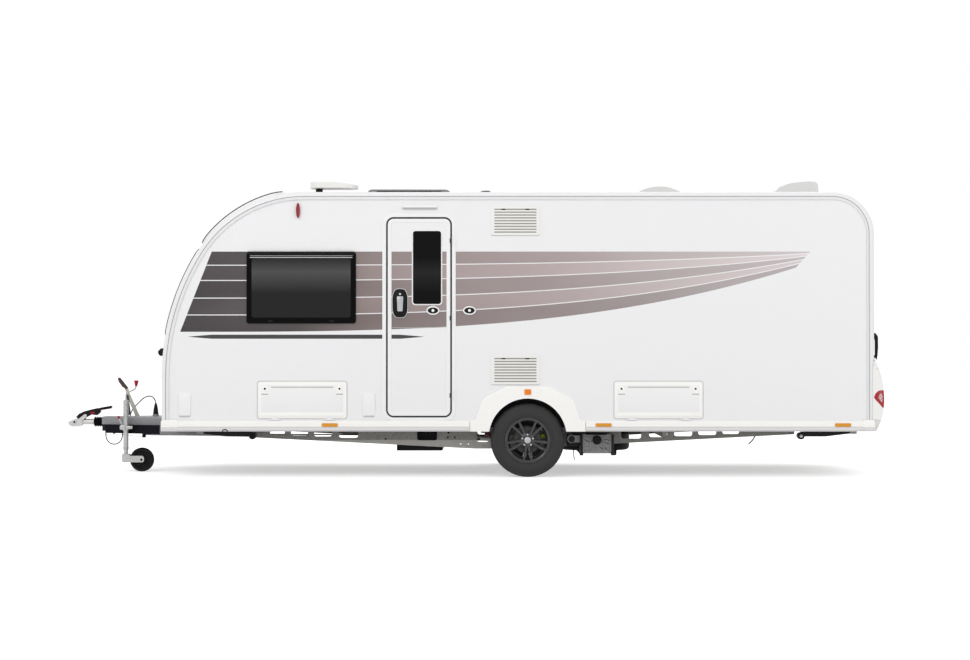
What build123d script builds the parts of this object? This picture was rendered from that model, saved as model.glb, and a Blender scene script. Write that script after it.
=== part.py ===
from build123d import *
import os
from math import asin, cos, degrees, radians, sin, sqrt, tan

# Touring caravan with one axle. Millimetres, X to the rear, door side at -Y, Z up, ground at Z = 0.

# Body shell
FRONT_X = -2653.0
REAR_X = 3616.0
SIDE_Y = 1120.0
ROOF_Z = 2511.0
BODY_BOTTOM_Z = 434.0
PANEL_T = 34.0
REAR_T = 22.0
SIDE_T = 32.0
EDGE_ROUND = 44.0
WALL_INSET = 58.0
NOSE_LOWER_R = 2080.0
NOSE_UPPER_R = 1100.0
NOSE_TURN = 32.3
REAR_CORNER_R = 370.0
FRONT_JOINT_X = -1560.0
REAR_JOINT_X = REAR_X - REAR_CORNER_R
FLOOR_Z = 430.0
FLOOR_T = 42.0
SEAT_GAP = 0.3
LID_GAP = 6.0

# Wheels and axle
AXLE_X = 567.0
TYRE_R = 325.0
TYRE_W = 185.0
WHEEL_Y = 1000.0
RIM_R = 196.0
SPOKE_PAIRS = 5
SPOKE_W = 17.0
SPOKE_SPREAD = 11.0
DRUM_R = 118.0
SPINDLE_R = 22.0
SPINDLE_GAP = 0.06
ARCH_R = 342.0
ARCH_Z = 352.0
ARCH_PROUD = 18.0
ARCH_TOP_Z = 803.0
ARCH_HALF = 510.0
WELL_HALF = 372.0
WELL_TOP_Z = 724.0
WELL_INNER_Y = 850.0
WELL_T = 6.0
AXLE_TUBE_R = 52.0
ARM_LENGTH = 170.0
ARM_Y = 850.0
AXLE_TUBE_Z = 300.0

# Trim round the walls
RAIL_IN = 46.0
RAIL_OUT = 70.0
RAIL_PROUD = 12.0
SKIRT_TOP_Z = 496.0
SKIRT_LOW_Z = 404.0
SKIRT_PROUD = 18.0
BUMPER_TOP_Z = 1035.0
BUMPER_LOW_Z = 410.0
BUMPER_BULGE_Z = 680.0
BUMPER_DEPTH = 84.0
BUMPER_REACH = REAR_X + BUMPER_DEPTH
BUMPER_T = 6.0

# Openings in the walls
DOOR_X = (-677.0, -98.0)
DOOR_Z = (527.0, 2287.0)
DOOR_CORNER = 66.0
DOOR_T = 32.0
DOOR_GLASS_X = (-440.0, -194.0)
DOOR_GLASS_Z = (1523.0, 2164.0)
HANDLE_X = -554.0
HANDLE_Z = 1530.0
CATCH_Z = 1466.0
DOOR_CATCH_X = -265.0
WALL_CATCH_X = 56.0
LOCKER_Z = (511.0, 849.0)
LOCKER_FRONT_X = (-1810.0, -1015.0)
LOCKER_REAR_X = (1320.0, 2110.0)
CASSETTE_X = (2560.0, 2960.0)
LOCKER_CORNER = 28.0
VENT_W = 420.0
VENT_H = 257.0
VENT_PROUD = 10.0
WINDOW_PROUD = 18.0
WINDOW_LAP = 24.0
HINGE_OUT = 8.0
HINGE_EDGE = 9.0
HINGE_R = 7.0
HINGE_PIN_R = 3.0
HINGE_PIN_GAP = 0.08
GAS_LID_Z = (680.0, 1090.0)
GAS_LID_HALF = 620.0

# Chassis
RAIL_Y = 780.0
RAIL_T = 5.0
RAIL_FLANGE = 45.0
RAIL_TOP_Z = 428.0
RAIL_FRONT_X = -1900.0
RAIL_END_X = 2960.0
RAIL_FRONT_Z = 338.0
RAIL_DEEP_Z = 237.0
RAIL_DEEP_X = (100.0, 480.0)
RAIL_END_Z = 365.0
DRAW_X = -3330.0
DRAW_HALF = 70.0
DRAW_W = 50.0
DRAW_Z = (348.0, 428.0)
DRAW_T = 6.0

# Hitch
COUPLING_TIP_X = -3700.0
BALL_X = -3640.0
BALL_Z = 430.0
BALL_R = 25.0
BALL_GAP = 0.25
TUBE_R = 27.0
BELLOWS_X = (-3462.0, -3378.0)
COVER_FRONT_X = -3378.0
COVER_TOP_Z = 501.0
COVER_T = 4.0
JOCKEY_X = -3121.0
JOCKEY_Y = -246.0
JOCKEY_TUBE_R = 24.0
JOCKEY_STEM_R = 19.0
JOCKEY_TOP_Z = 650.0
JOCKEY_WHEEL_R = 110.0
JOCKEY_WHEEL_W = 64.0
JOCKEY_TRAIL = 150.0
JOCKEY_TUBE_LOW_Z = 200.0
JOCKEY_AXLE_R = 8.0
RUN_GAP = 0.06

# Corner steadies
STEADY_Z = 392.0
STEADY_LEG = 455.0
STEADY_Y = 880.0
STEADY_X = (-2330.0, 3455.0)
STEADY_PIN_R = 7.0
STEADY_DROP = 36.0
STEADY_PAD_R = 31.0
STEADY_W = 36.0

# Leads
LEAD_R = 5.0
WIRE_R = 2.0
PLUG_X = FRONT_X - 240.0
PLUG_Y = 30.0


def slab(sketch, y_low, y_high):
    """Solid from an outline in X and Z between two Y planes."""
    return extrude(Plane.XZ.offset(-y_high) * sketch, amount=y_high - y_low)


def across(sketch, x_low, x_high):
    """Solid from an outline in Y and Z between two X planes."""
    return extrude(Plane.YZ.offset(x_low) * sketch, amount=x_high - x_low)


def upright(sketch, z_low, z_high):
    """Solid from an outline in X and Y between two Z planes."""
    return extrude(Plane.XY.offset(z_low) * sketch, amount=z_high - z_low)


def block(x, y, z):
    """Box between the low and high ends of x, y and z."""
    size = Box(x[1] - x[0], y[1] - y[0], z[1] - z[0])
    return Pos((x[0] + x[1]) / 2, (y[0] + y[1]) / 2, (z[0] + z[1]) / 2) * size


def rounded(u, v, corner):
    """Rounded rectangle between the low and high ends of u and v."""
    shape = RectangleRounded(u[1] - u[0], v[1] - v[0], corner)
    return Pos((u[0] + u[1]) / 2, (v[0] + v[1]) / 2) * shape


def grown(span, amount):
    """Span widened by an amount at both ends."""
    return (span[0] - amount, span[1] + amount)


def mirrored(solid):
    """Twin of a solid on the other side of the vehicle."""
    return mirror(solid, about=Plane.XZ)


def rod_between(start, end, radius):
    """Round bar from one point to another."""
    run = Vector(*end) - Vector(*start)
    return extrude(Plane(start, z_dir=run) * Circle(radius), amount=run.length)


def pipe(points, radius, bends):
    """Round tube along straight runs joined by arcs of the bend radii."""
    path = FilletPolyline(*points, radius=bends)
    return sweep(Plane(path @ 0, z_dir=path % 0) * Circle(radius), path=path)


LOWER_CENTRE = (
    FRONT_X + NOSE_LOWER_R,
    ROOF_Z - NOSE_UPPER_R - (NOSE_LOWER_R - NOSE_UPPER_R) * sin(radians(NOSE_TURN)),
)
UPPER_CENTRE = (
    LOWER_CENTRE[0] - (NOSE_LOWER_R - NOSE_UPPER_R) * cos(radians(NOSE_TURN)),
    ROOF_Z - NOSE_UPPER_R,
)
REAR_CENTRE = (REAR_X - REAR_CORNER_R, ROOF_Z - REAR_CORNER_R)


def on_circle(centre, radius, angle):
    """Point on a circle at an angle in degrees from +X."""
    return (centre[0] + radius * cos(radians(angle)), centre[1] + radius * sin(radians(angle)))


def arc(centre, radius, start, end):
    """Arc of a circle between two angles in degrees."""
    ends = [on_circle(centre, radius, angle) for angle in (start, (start + end) / 2, end)]
    return ThreePointArc(*ends)


def body_outline(inset, bottom):
    """Side outline of the cabin, drawn in by an inset, down to a bottom level."""
    lower = arc(LOWER_CENTRE, NOSE_LOWER_R - inset, 180, 180 - NOSE_TURN)
    upper = arc(UPPER_CENTRE, NOSE_UPPER_R - inset, 180 - NOSE_TURN, 90)
    rear = arc(REAR_CENTRE, REAR_CORNER_R - inset, 90, 0)
    low_front = (FRONT_X + inset, bottom)
    low_rear = (REAR_X - inset, bottom)
    return make_face([
        Line(low_front, lower @ 0),
        lower,
        upper,
        Line(upper @ 1, rear @ 0),
        rear,
        Line(rear @ 1, low_rear),
        Line(low_rear, low_front),
    ])


def nose_x(z, inset=0.0):
    """X of the front panel's face at a height on its lower arc."""
    rise = max(z - LOWER_CENTRE[1], 0.0)
    return LOWER_CENTRE[0] - sqrt((NOSE_LOWER_R - inset) ** 2 - rise ** 2)


def skin(outer, inner, half):
    """Shell band of the cabin outline between two insets."""
    return slab(body_outline(outer, BODY_BOTTOM_Z), -half, half) - slab(
        body_outline(inner, BODY_BOTTOM_Z - 50), -half, half)


def hinge(origin, leaf_way, axis_way, fixed_tab, tab_depth=HINGE_OUT):
    """Knuckles of one hinge: the leaf's half and the fixed half with its pin.

    The leaf's face lies HINGE_OUT inside the axis."""
    place = Plane(origin, x_dir=leaf_way, z_dir=axis_way)
    tab = (3.0, tab_depth)
    moving = Cylinder(HINGE_R, 40) + block((0, 34), (3.0, HINGE_OUT), (-20, 20))
    moving += block((10, 34), tab, (-20, 20))
    moving -= Cylinder(HINGE_PIN_R + HINGE_PIN_GAP, 60)
    fixed = Cylinder(HINGE_PIN_R, 90)
    for low in (-45.0, 21.0):
        fixed += Pos(0, 0, low + 12) * Cylinder(HINGE_R, 24) + block((-fixed_tab, 0), tab, (low, low + 24))
    return place * moving, place * fixed


PARTS = {}
HINGE_HALVES = {"near": [], "off": [], "front": []}

# Side windows: side sign, X low, X high, Z low, Z high
SIDE_WINDOWS = [
    (-1, -1902.0, -941.0, 1352.0, 1980.0),
    (1, -1902.0, -941.0, 1352.0, 1980.0),
    (1, -560.0, 240.0, 1450.0, 1980.0),
    (1, 1500.0, 2300.0, 1400.0, 1980.0),
]
# Vents: side sign, X middle, Z middle
VENTS = [(-1, 459.0, 2257.0), (-1, 459.0, 946.0)]
# Service flaps: side sign, X middle, Z middle, width, height
FLAPS = [
    (-1, -2444.0, 641.0, 102.0, 193.0),
    (-1, -827.0, 641.0, 102.0, 193.0),
    (1, -420.0, 660.0, 160.0, 190.0),
    (1, 1420.0, 660.0, 160.0, 190.0),
]


def lid(side, x, z, corner):
    """Locker leaf hinged along its lower edge, with its cut shape for the wall."""
    outward = side * SIDE_Y
    low, high = sorted((outward, outward - side * SIDE_T))
    hole = slab(rounded(x, z, corner), low - 1, high + 1)
    leaf = slab(rounded(grown(x, -LID_GAP), grown(z, -LID_GAP), corner - LID_GAP), low, high)
    axis_z = z[0] + LID_GAP - HINGE_EDGE
    axis_y = outward + side * HINGE_OUT
    run = x[1] - x[0]
    for share in (0.2, 0.8):
        origin = (x[0] + share * run, axis_y, axis_z)
        moving, fixed = hinge(origin, (0, 0, 1), (side, 0, 0), 10.0)
        leaf += moving
        HINGE_HALVES["near" if side < 0 else "off"].append(fixed)
    return leaf, hole


def make_door():
    """Entrance door leaf with window opening, its pane, handle and hinge halves."""
    y = (-SIDE_Y, -SIDE_Y + DOOR_T)
    hole = slab(rounded(DOOR_X, DOOR_Z, DOOR_CORNER), y[0] - 1, y[1] + 1)
    shape = rounded(grown(DOOR_X, -LID_GAP), grown(DOOR_Z, -LID_GAP), DOOR_CORNER - LID_GAP)
    leaf = slab(shape, *y)
    glass = rounded(DOOR_GLASS_X, DOOR_GLASS_Z, 22.0)
    leaf -= slab(glass, y[0] - 1, y[1] + 1)
    pane_shape = rounded(grown(DOOR_GLASS_X, -SEAT_GAP), grown(DOOR_GLASS_Z, -SEAT_GAP), 22.0 - SEAT_GAP)
    pane = slab(pane_shape, y[0] - 5, y[1] - 4)
    axis_x = DOOR_X[1] - LID_GAP + HINGE_EDGE
    for z in (720.0, 1400.0, 2080.0):
        moving, fixed = hinge((axis_x, -SIDE_Y - HINGE_OUT, z), (-1, 0, 0), (0, 0, -1), 30.0)
        leaf += moving
        HINGE_HALVES["near"].append(fixed)
    leaf += slab(Pos(DOOR_CATCH_X, CATCH_Z) * Ellipse(55, 37), y[0] - 10, y[0])
    plate_x = (HANDLE_X - 66, HANDLE_X + 66)
    plate_z = (HANDLE_Z - 125, HANDLE_Z + 125)
    handle = slab(rounded(plate_x, plate_z, 34.0), y[0] - 14, y[0])
    grip = rounded((HANDLE_X - 22, HANDLE_X + 22), (HANDLE_Z - 66, HANDLE_Z + 66), 18.0)
    handle += slab(grip, y[0] - 20, y[0] - 14)
    return leaf, pane, handle, hole


def window_hole(side, x, z):
    """Cut through a wall for a side window that laps the hole."""
    inner = rounded(grown(x, -WINDOW_LAP), grown(z, -WINDOW_LAP), 40.0)
    low, high = sorted((side * SIDE_Y, side * (SIDE_Y - SIDE_T)))
    return slab(inner, low - 1, high + 1)


def window_unit(side, x, z):
    """Hinged pane lapping the outside of the wall, with the inner unit in the hole."""
    face = rounded(x, z, 22.0)
    plug = rounded(grown(x, -WINDOW_LAP - 1), grown(z, -WINDOW_LAP - 1), 39.0)
    pane = slab(face, -SIDE_Y - WINDOW_PROUD, -SIDE_Y)
    pane = fillet(pane.faces().sort_by(Axis.Y)[0].edges(), 10.0)
    pane += slab(plug, -SIDE_Y, -SIDE_Y + SIDE_T - 6)
    return pane if side < 0 else mirrored(pane)


def make_arch_sketch():
    """Outer outline of a wheel arch moulding about the axle line."""
    points = [
        (-ARCH_HALF, SKIRT_LOW_Z), (-ARCH_HALF, SKIRT_TOP_Z), (-462, 505), (-400, 690), (-180, ARCH_TOP_Z),
        (180, ARCH_TOP_Z), (400, 690), (462, 505), (ARCH_HALF, SKIRT_TOP_Z), (ARCH_HALF, SKIRT_LOW_Z),
    ]
    face = make_face(Polyline(*points, close=True))
    bends = [(-180, ARCH_TOP_Z), (180, ARCH_TOP_Z), (-400, 690), (400, 690)]
    near = [v for v in face.vertices() if any(abs(v.X - x) < 1 and abs(v.Y - z) < 1 for x, z in bends)]
    face = fillet(near, 130.0)
    return Pos(AXLE_X, 0) * face


def make_shell():
    """Cabin panels: ring of front, roof and rear, both walls, floor and wheel housings."""
    solid = slab(body_outline(0.0, BODY_BOTTOM_Z), -SIDE_Y, SIDE_Y)
    rims = []
    for face in solid.faces().filter_by(Axis.Y):
        rims += [e for e in face.edges() if e.center().Z > BODY_BOTTOM_Z + 1]
    solid = fillet(rims, EDGE_ROUND)
    inner_y = SIDE_Y - SIDE_T
    cavity = slab(body_outline(PANEL_T, BODY_BOTTOM_Z - 50), -inner_y, inner_y)
    ring = solid - cavity
    wall_face = body_outline(WALL_INSET, BODY_BOTTOM_Z)
    wall_cut = body_outline(WALL_INSET, BODY_BOTTOM_Z - 50)
    ring -= slab(wall_cut, -SIDE_Y - 1, -inner_y)
    ring -= slab(wall_cut, inner_y, SIDE_Y + 1)
    big = (-2000.0, 2000.0)
    front = ring & block((-4000, FRONT_JOINT_X), big, (0, 3000))
    roof = ring & block((FRONT_JOINT_X, REAR_JOINT_X), big, (0, 3000))
    rear = ring & block((REAR_JOINT_X, 4500), big, (0, 3000))
    inside_z = (FLOOR_Z + FLOOR_T, REAR_CENTRE[1])
    rear -= block((REAR_X - PANEL_T - 1, REAR_X - REAR_T), (-inner_y, inner_y), inside_z)
    near = slab(wall_face, -SIDE_Y, -inner_y)
    off = mirrored(near)
    arch_hole = slab(Pos(AXLE_X, ARCH_Z) * Circle(ARCH_R + 14), -SIDE_Y - 1, -inner_y + 1)
    near -= arch_hole
    off -= mirrored(arch_hole)
    floor_x = (FRONT_X + PANEL_T, REAR_X - PANEL_T)
    floor = block(floor_x, (-inner_y, inner_y), (FLOOR_Z, FLOOR_Z + FLOOR_T))
    well_x = (AXLE_X - WELL_HALF, AXLE_X + WELL_HALF)
    well = block(well_x, (-inner_y, -WELL_INNER_Y), (FLOOR_Z, WELL_TOP_Z))
    tops = [e for e in well.edges().filter_by(Axis.Y) if e.center().Z > WELL_TOP_Z - 1]
    well = fillet(tops, 110.0)
    hollow_y = (-inner_y - 1, -WELL_INNER_Y - WELL_T)
    hollow = block(grown(well_x, -WELL_T), hollow_y, (FLOOR_Z - 1, WELL_TOP_Z - WELL_T))
    tops = [e for e in hollow.edges().filter_by(Axis.Y) if e.center().Z > WELL_TOP_Z - WELL_T - 1]
    hollow = fillet(tops, 110.0 - WELL_T)
    floor -= block(well_x, (-inner_y - 1, -WELL_INNER_Y), (FLOOR_Z - 1, 600))
    floor -= block(well_x, (WELL_INNER_Y, inner_y + 1), (FLOOR_Z - 1, 600))
    housing = well - hollow
    return front, roof, rear, near, off, floor, housing


def front_openings():
    """Prisms of the front windows, sky window and front locker lid: name, prism, shrunk prism."""
    cuts = []
    for name, y in (("left", (540.0, 1010.0)), ("middle", (-490.0, 490.0)), ("right", (-1010.0, -540.0))):
        shape = rounded(y, (1290.0, 1950.0), 60.0)
        inside = rounded(grown(y, -SEAT_GAP), (1290.0 + SEAT_GAP, 1950.0 - SEAT_GAP), 60.0 - SEAT_GAP)
        reach = (FRONT_X - 60, nose_x(1990.0, PANEL_T) + 40)
        cuts.append((name, across(shape, *reach), across(inside, *reach)))
    middle = 58.0
    way = (cos(radians(180 - middle)), 0, sin(radians(180 - middle)))
    base = Plane((UPPER_CENTRE[0], 0, UPPER_CENTRE[1]), x_dir=(0, 1, 0), z_dir=way).offset(NOSE_UPPER_R - 170)
    long_side = 2 * NOSE_UPPER_R * sin(radians(19.0))
    shape = RectangleRounded(1040, long_side, 70)
    inside = RectangleRounded(1040 - 2 * SEAT_GAP, long_side - 2 * SEAT_GAP, 70 - SEAT_GAP)
    cuts.append(("sky", extrude(base * shape, amount=230), extrude(base * inside, amount=230)))
    return cuts


def make_gas_lid():
    """Front locker lid hinged along its upper edge, with its cut shape."""
    y = (-GAS_LID_HALF, GAS_LID_HALF)
    reach = (FRONT_X - 60, FRONT_X + 120)
    hole = across(rounded(y, GAS_LID_Z, 60.0), *reach)
    shape = across(rounded(grown(y, -LID_GAP), grown(GAS_LID_Z, -LID_GAP), 60.0 - LID_GAP), *reach)
    leaf = skin(0.0, 26.0, GAS_LID_HALF) & shape & block(reach, y, (0, 1500))
    axis_z = GAS_LID_Z[1] - LID_GAP + HINGE_EDGE
    axis_x = nose_x(GAS_LID_Z[1]) - HINGE_OUT
    for y_at in (-430.0, 430.0):
        moving, fixed = hinge((axis_x, y_at, axis_z), (0, 0, -1), (0, -1, 0), 26.0, tab_depth=16.0)
        leaf += moving
        HINGE_HALVES["front"].append(fixed)
    return leaf, hole


def make_bumper():
    """Rear bumper moulding as a shell, and the tail lamps cut from it."""
    top = (REAR_X, BUMPER_TOP_Z)
    low = (REAR_X, BUMPER_LOW_Z)
    bulge = (BUMPER_REACH, BUMPER_BULGE_Z)
    upper = TangentArc(bulge, top, tangent=(0, 1))
    lower = TangentArc(bulge, (REAR_X + 16, BUMPER_LOW_Z), tangent=(0, -1))
    outline = make_face([upper, lower, Line((REAR_X + 16, BUMPER_LOW_Z), low), Line(low, top)])
    solid = slab(outline, -SIDE_Y, SIDE_Y)
    corners = []
    for face in solid.faces().filter_by(Axis.Y):
        corners += [e for e in face.edges() if e.geom_type == GeomType.CIRCLE]
    solid = fillet(corners, 14.0)
    scale_in = make_face([
        TangentArc((BUMPER_REACH - BUMPER_T, BUMPER_BULGE_Z), (REAR_X, BUMPER_TOP_Z - 45), tangent=(0, 1)),
        TangentArc((BUMPER_REACH - BUMPER_T, BUMPER_BULGE_Z), (REAR_X, BUMPER_LOW_Z + 14), tangent=(0, -1)),
        Line((REAR_X, BUMPER_TOP_Z - 45), (REAR_X, BUMPER_LOW_Z + 14)),
    ])
    shell = solid - slab(scale_in, -SIDE_Y + 16, SIDE_Y - 16)
    round_x = REAR_X - EDGE_ROUND
    lamps = None
    for side in (-1, 1):
        y = sorted((side * (SIDE_Y - EDGE_ROUND), side * SIDE_Y))
        cheek = block((REAR_X - 20, REAR_X + 4), y, (SKIRT_TOP_Z + 4, BUMPER_TOP_Z - 60))
        corner = Pos(round_x, side * (SIDE_Y - EDGE_ROUND)) * Circle(EDGE_ROUND + SEAT_GAP)
        cheek -= upright(corner, 0, 2000)
        cheek -= slab(scale_in, -SIDE_Y + 16, SIDE_Y - 16)
        shell += cheek
    # Tail lamp seen from the side: share of the bumper's depth, Z
    lamp = [(0.04, 720.0), (0.52, 766.0), (1.3, 766.0), (1.3, 612.0), (0.78, 612.0), (0.22, 676.0)]
    shape = make_face(Polyline(*[(REAR_X + share * BUMPER_DEPTH, z) for share, z in lamp], close=True))
    for side in (-1, 1):
        y = sorted((side * 880.0, side * (SIDE_Y + 40)))
        inside = slab(offset(shape, -SEAT_GAP), *grown(y, -SEAT_GAP))
        lens = shell & inside
        shell -= slab(shape, *y)
        lamps = lens if lamps is None else lamps + lens
    return shell, lamps


def make_trim():
    """Edge rails, skirts, arch mouldings."""
    band = body_outline(RAIL_IN, SKIRT_TOP_Z) - body_outline(RAIL_OUT, SKIRT_TOP_Z - 10)
    rail = slab(band, -SIDE_Y - RAIL_PROUD, -SIDE_Y)
    rail = rail & block((-4000, 4000), (-1300, 0), (SKIRT_TOP_Z, 3000))
    face_y = -SIDE_Y - SKIRT_PROUD
    section = make_face(Polyline(
        (-SIDE_Y, SKIRT_TOP_Z), (face_y + 6, SKIRT_TOP_Z - 4), (face_y, SKIRT_TOP_Z - 16),
        (face_y, SKIRT_LOW_Z + 12),
        (face_y + 14, SKIRT_LOW_Z), (-SIDE_Y + 26, SKIRT_LOW_Z), (-SIDE_Y + 26, SKIRT_LOW_Z + 8),
        (-SIDE_Y, SKIRT_LOW_Z + 8), close=True))
    skirt = across(section, FRONT_X + 2, REAR_X - 2)
    moulding = make_arch_sketch()
    skirt -= block((AXLE_X - ARCH_HALF, AXLE_X + ARCH_HALF), (-1300, 0), (0, 1000))
    plate = slab(moulding, face_y, -SIDE_Y)
    outer = [e for e in plate.faces().sort_by(Axis.Y)[0].edges() if e.center().Z > SKIRT_LOW_Z + 1]
    plate = fillet(outer, 11.0)
    plate += slab(Pos(AXLE_X, ARCH_Z) * Circle(ARCH_R + 8), -SIDE_Y, -SIDE_Y + 30)
    plate -= slab(Pos(AXLE_X, ARCH_Z) * Circle(ARCH_R), -1300, 0)
    plate -= block((0, 2000), (-1300, 0), (0, SKIRT_LOW_Z))
    return rail, skirt, plate


def make_lamps():
    """Marker lamps and the lamp over the door, as one set of small solids."""
    lamps = []
    # Lamps on the door side: X low, X high, Z low, Z high, stand-off from the wall, height of lens
    table = [
        (-1239.0, -1099.0, 447.0, 477.0, SKIRT_PROUD, 7.0),
        (1162.0, 1302.0, 447.0, 477.0, SKIRT_PROUD, 7.0),
        (3261.0, 3401.0, 447.0, 477.0, SKIRT_PROUD, 7.0),
        (AXLE_X - 29, AXLE_X + 29, 727.0, 774.0, ARCH_PROUD, 7.0),
    ]
    for x_low, x_high, z_low, z_high, out, depth in table:
        face = -SIDE_Y - out
        lamp = slab(rounded((x_low, x_high), (z_low, z_high), 9.0), face - depth, face)
        lamps += [lamp, mirrored(lamp)]
    leaf = slab(Pos(-1450.0, 2344.0) * Ellipse(17, 66), -SIDE_Y - 22, -SIDE_Y)
    lamps += [leaf, mirrored(leaf)]
    over_door = slab(rounded((-537.0, -229.0), (2357.0, 2393.0), 14.0), -SIDE_Y - 16, -SIDE_Y)
    lamps.append(over_door)
    return Compound(children=[p for lamp in lamps for p in lamp.solids()])


def make_vents():
    """Louvred vents on the wall, each a grille of slats in a frame."""
    vents = []
    for side, x, z in VENTS:
        frame = slab(rounded((x - VENT_W / 2, x + VENT_W / 2), (z - VENT_H / 2, z + VENT_H / 2), 14.0),
                     -SIDE_Y - VENT_PROUD, -SIDE_Y)
        for row in range(9):
            low = z - VENT_H / 2 + 20 + row * 25.0
            frame -= slab(rounded((x - VENT_W / 2 + 24, x + VENT_W / 2 - 24), (low, low + 12), 5.9),
                          -SIDE_Y - VENT_PROUD - 1, -SIDE_Y - 3)
        vents.append(frame if side < 0 else mirrored(frame))
    return Compound(children=[p for vent in vents for p in vent.solids()])


def make_flaps():
    """Small fixed service plates on the walls, and the catch that holds the open door."""
    flaps = []
    for side, x, z, wide, tall in FLAPS:
        shape = rounded((x - wide / 2, x + wide / 2), (z - tall / 2, z + tall / 2), 12.0)
        plate = slab(shape, -SIDE_Y - 8, -SIDE_Y)
        flaps.append(plate if side < 0 else mirrored(plate))
    flaps.append(slab(Pos(WALL_CATCH_X, CATCH_Z) * Ellipse(55, 37), -SIDE_Y - 12, -SIDE_Y))
    return Compound(children=[p for flap in flaps for p in flap.solids()])


def make_roof_pieces():
    """Tinted rooflight, winged aerial, and the white roof vents."""
    y = (-900.0, -180.0)
    big = upright(rounded((-852.0, -120.0), y, 60.0), ROOF_Z, ROOF_Z + 40)
    big = fillet(big.faces().sort_by(Axis.Z)[-1].edges(), 24.0)
    big -= upright(rounded((-844.0, -128.0), grown(y, -8), 52.0), ROOF_Z - 1, ROOF_Z + 24)
    stub = Pos(-1300.0, -700.0, ROOF_Z + 30) * Cylinder(30, 60)
    wing = upright(rounded((-1375.0, -950.0), (-830.0, -570.0), 100.0), ROOF_Z + 60, ROOF_Z + 112)
    slope = Plane((-1160.0, 0, ROOF_Z + 112), x_dir=(0, 1, 0), z_dir=(0.13, 0, 1))
    wing -= extrude(slope * Rectangle(1900, 700), amount=200)
    aerial = stub + wing
    vents = []
    for low, depth, y in ((0.0, 0.0, (-440.0, -30.0)), (-1.0, 10.0, (-430.0, -40.0))):
        ends = (1585.0 + depth, 1987.0 - depth)
        eave, ridge = ROOF_Z + 48 - depth, ROOF_Z + 103 - depth
        crown = ThreePointArc((ends[0], eave), (1786.0, ridge), (ends[1], eave))
        foot = Polyline(crown @ 1, (ends[1], ROOF_Z + low), (ends[0], ROOF_Z + low), crown @ 0)
        cap = slab(make_face([crown, *foot.edges()]), *y)
        low_dome = cap if not depth else low_dome - cap
    vents.append(low_dome)
    ramp = make_face(Polyline(
        (2807, ROOF_Z), (3197, ROOF_Z), (3186, ROOF_Z + 98), (3168, ROOF_Z + 120), (3098, ROOF_Z + 126),
        (2976, ROOF_Z + 114), (2922, ROOF_Z + 104), (2840, ROOF_Z + 74), (2811, ROOF_Z + 42), close=True))
    ramp_dome = slab(ramp, -720.0, -340.0)
    inner_ramp = make_face(Polyline(
        (2819, ROOF_Z - 1), (3186, ROOF_Z - 1), (3177, ROOF_Z + 90), (3163, ROOF_Z + 110),
        (3097, ROOF_Z + 116),
        (2978, ROOF_Z + 104), (2926, ROOF_Z + 94), (2846, ROOF_Z + 66), (2822, ROOF_Z + 38), close=True))
    vents.append(ramp_dome - slab(inner_ramp, -710.0, -350.0))
    cowl = Pos(200.0, -800.0, ROOF_Z + 16) * Cylinder(52, 32)
    vents.append(chamfer(cowl.faces().sort_by(Axis.Z)[-1].edges(), 12.0))
    return big, aerial, Compound(children=[p for vent in vents for p in vent.solids()])


def make_handles():
    """Grab handles: two upright at the rear, two level at the front."""
    handles = []
    for side in (-1, 1):
        y = side * 960.0
        x = REAR_X
        points = [(x, y, 1040), (x + 42, y, 1070), (x + 42, y, 1245), (x, y, 1275)]
        handles.append(pipe(points, 12.0, 18.0))
        z = 1105.0
        x = nose_x(z) + 4
        points = [(x, side * 760, z), (x - 44, side * 790, z), (x - 44, side * 970, z), (x, side * 1000, z)]
        handles.append(pipe(points, 12.0, 18.0))
    shell = slab(body_outline(0.0, BODY_BOTTOM_Z), -SIDE_Y, SIDE_Y)
    trimmed = [handle - shell for handle in handles]
    return Compound(children=[p for handle in trimmed for p in handle.solids()])


def rail_low(x):
    """Height of the chassis rail's lower edge at an X."""
    if x < RAIL_DEEP_X[0]:
        share = (x - RAIL_FRONT_X) / (RAIL_DEEP_X[0] - RAIL_FRONT_X)
        return RAIL_FRONT_Z + share * (RAIL_DEEP_Z - RAIL_FRONT_Z)
    if x < RAIL_DEEP_X[1]:
        return RAIL_DEEP_Z
    share = (x - RAIL_DEEP_X[1]) / (RAIL_END_X - RAIL_DEEP_X[1])
    return RAIL_DEEP_Z + share * (RAIL_END_Z - RAIL_DEEP_Z)


def rail_outline(lift):
    """Side outline of a chassis rail with its lower edge lifted."""
    return make_face(Polyline(
        (RAIL_FRONT_X, RAIL_TOP_Z - lift), (RAIL_FRONT_X, RAIL_FRONT_Z + lift),
        (RAIL_DEEP_X[0], RAIL_DEEP_Z + lift), (RAIL_DEEP_X[1], RAIL_DEEP_Z + lift),
        (RAIL_END_X, RAIL_END_Z + lift), (RAIL_END_X, RAIL_TOP_Z - lift), close=True))


# Lightening slots in a rail: X low, X high, height of the slot's floor above the rail's lower edge
RAIL_SLOTS = [
    (-1733.0, -1598.0, 36.0), (-1544.0, -1392.0, 36.0), (-1338.0, -1177.0, 36.0), (-1115.0, -944.0, 36.0),
    (-416.0, -237.0, 48.0), (120.0, 225.0, 60.0), (1410.0, 1589.0, 33.0), (1661.0, 1822.0, 34.0),
    (1885.0, 2046.0, 31.0), (2100.0, 2261.0, 30.0), (2315.0, 2467.0, 29.0),
]


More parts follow.
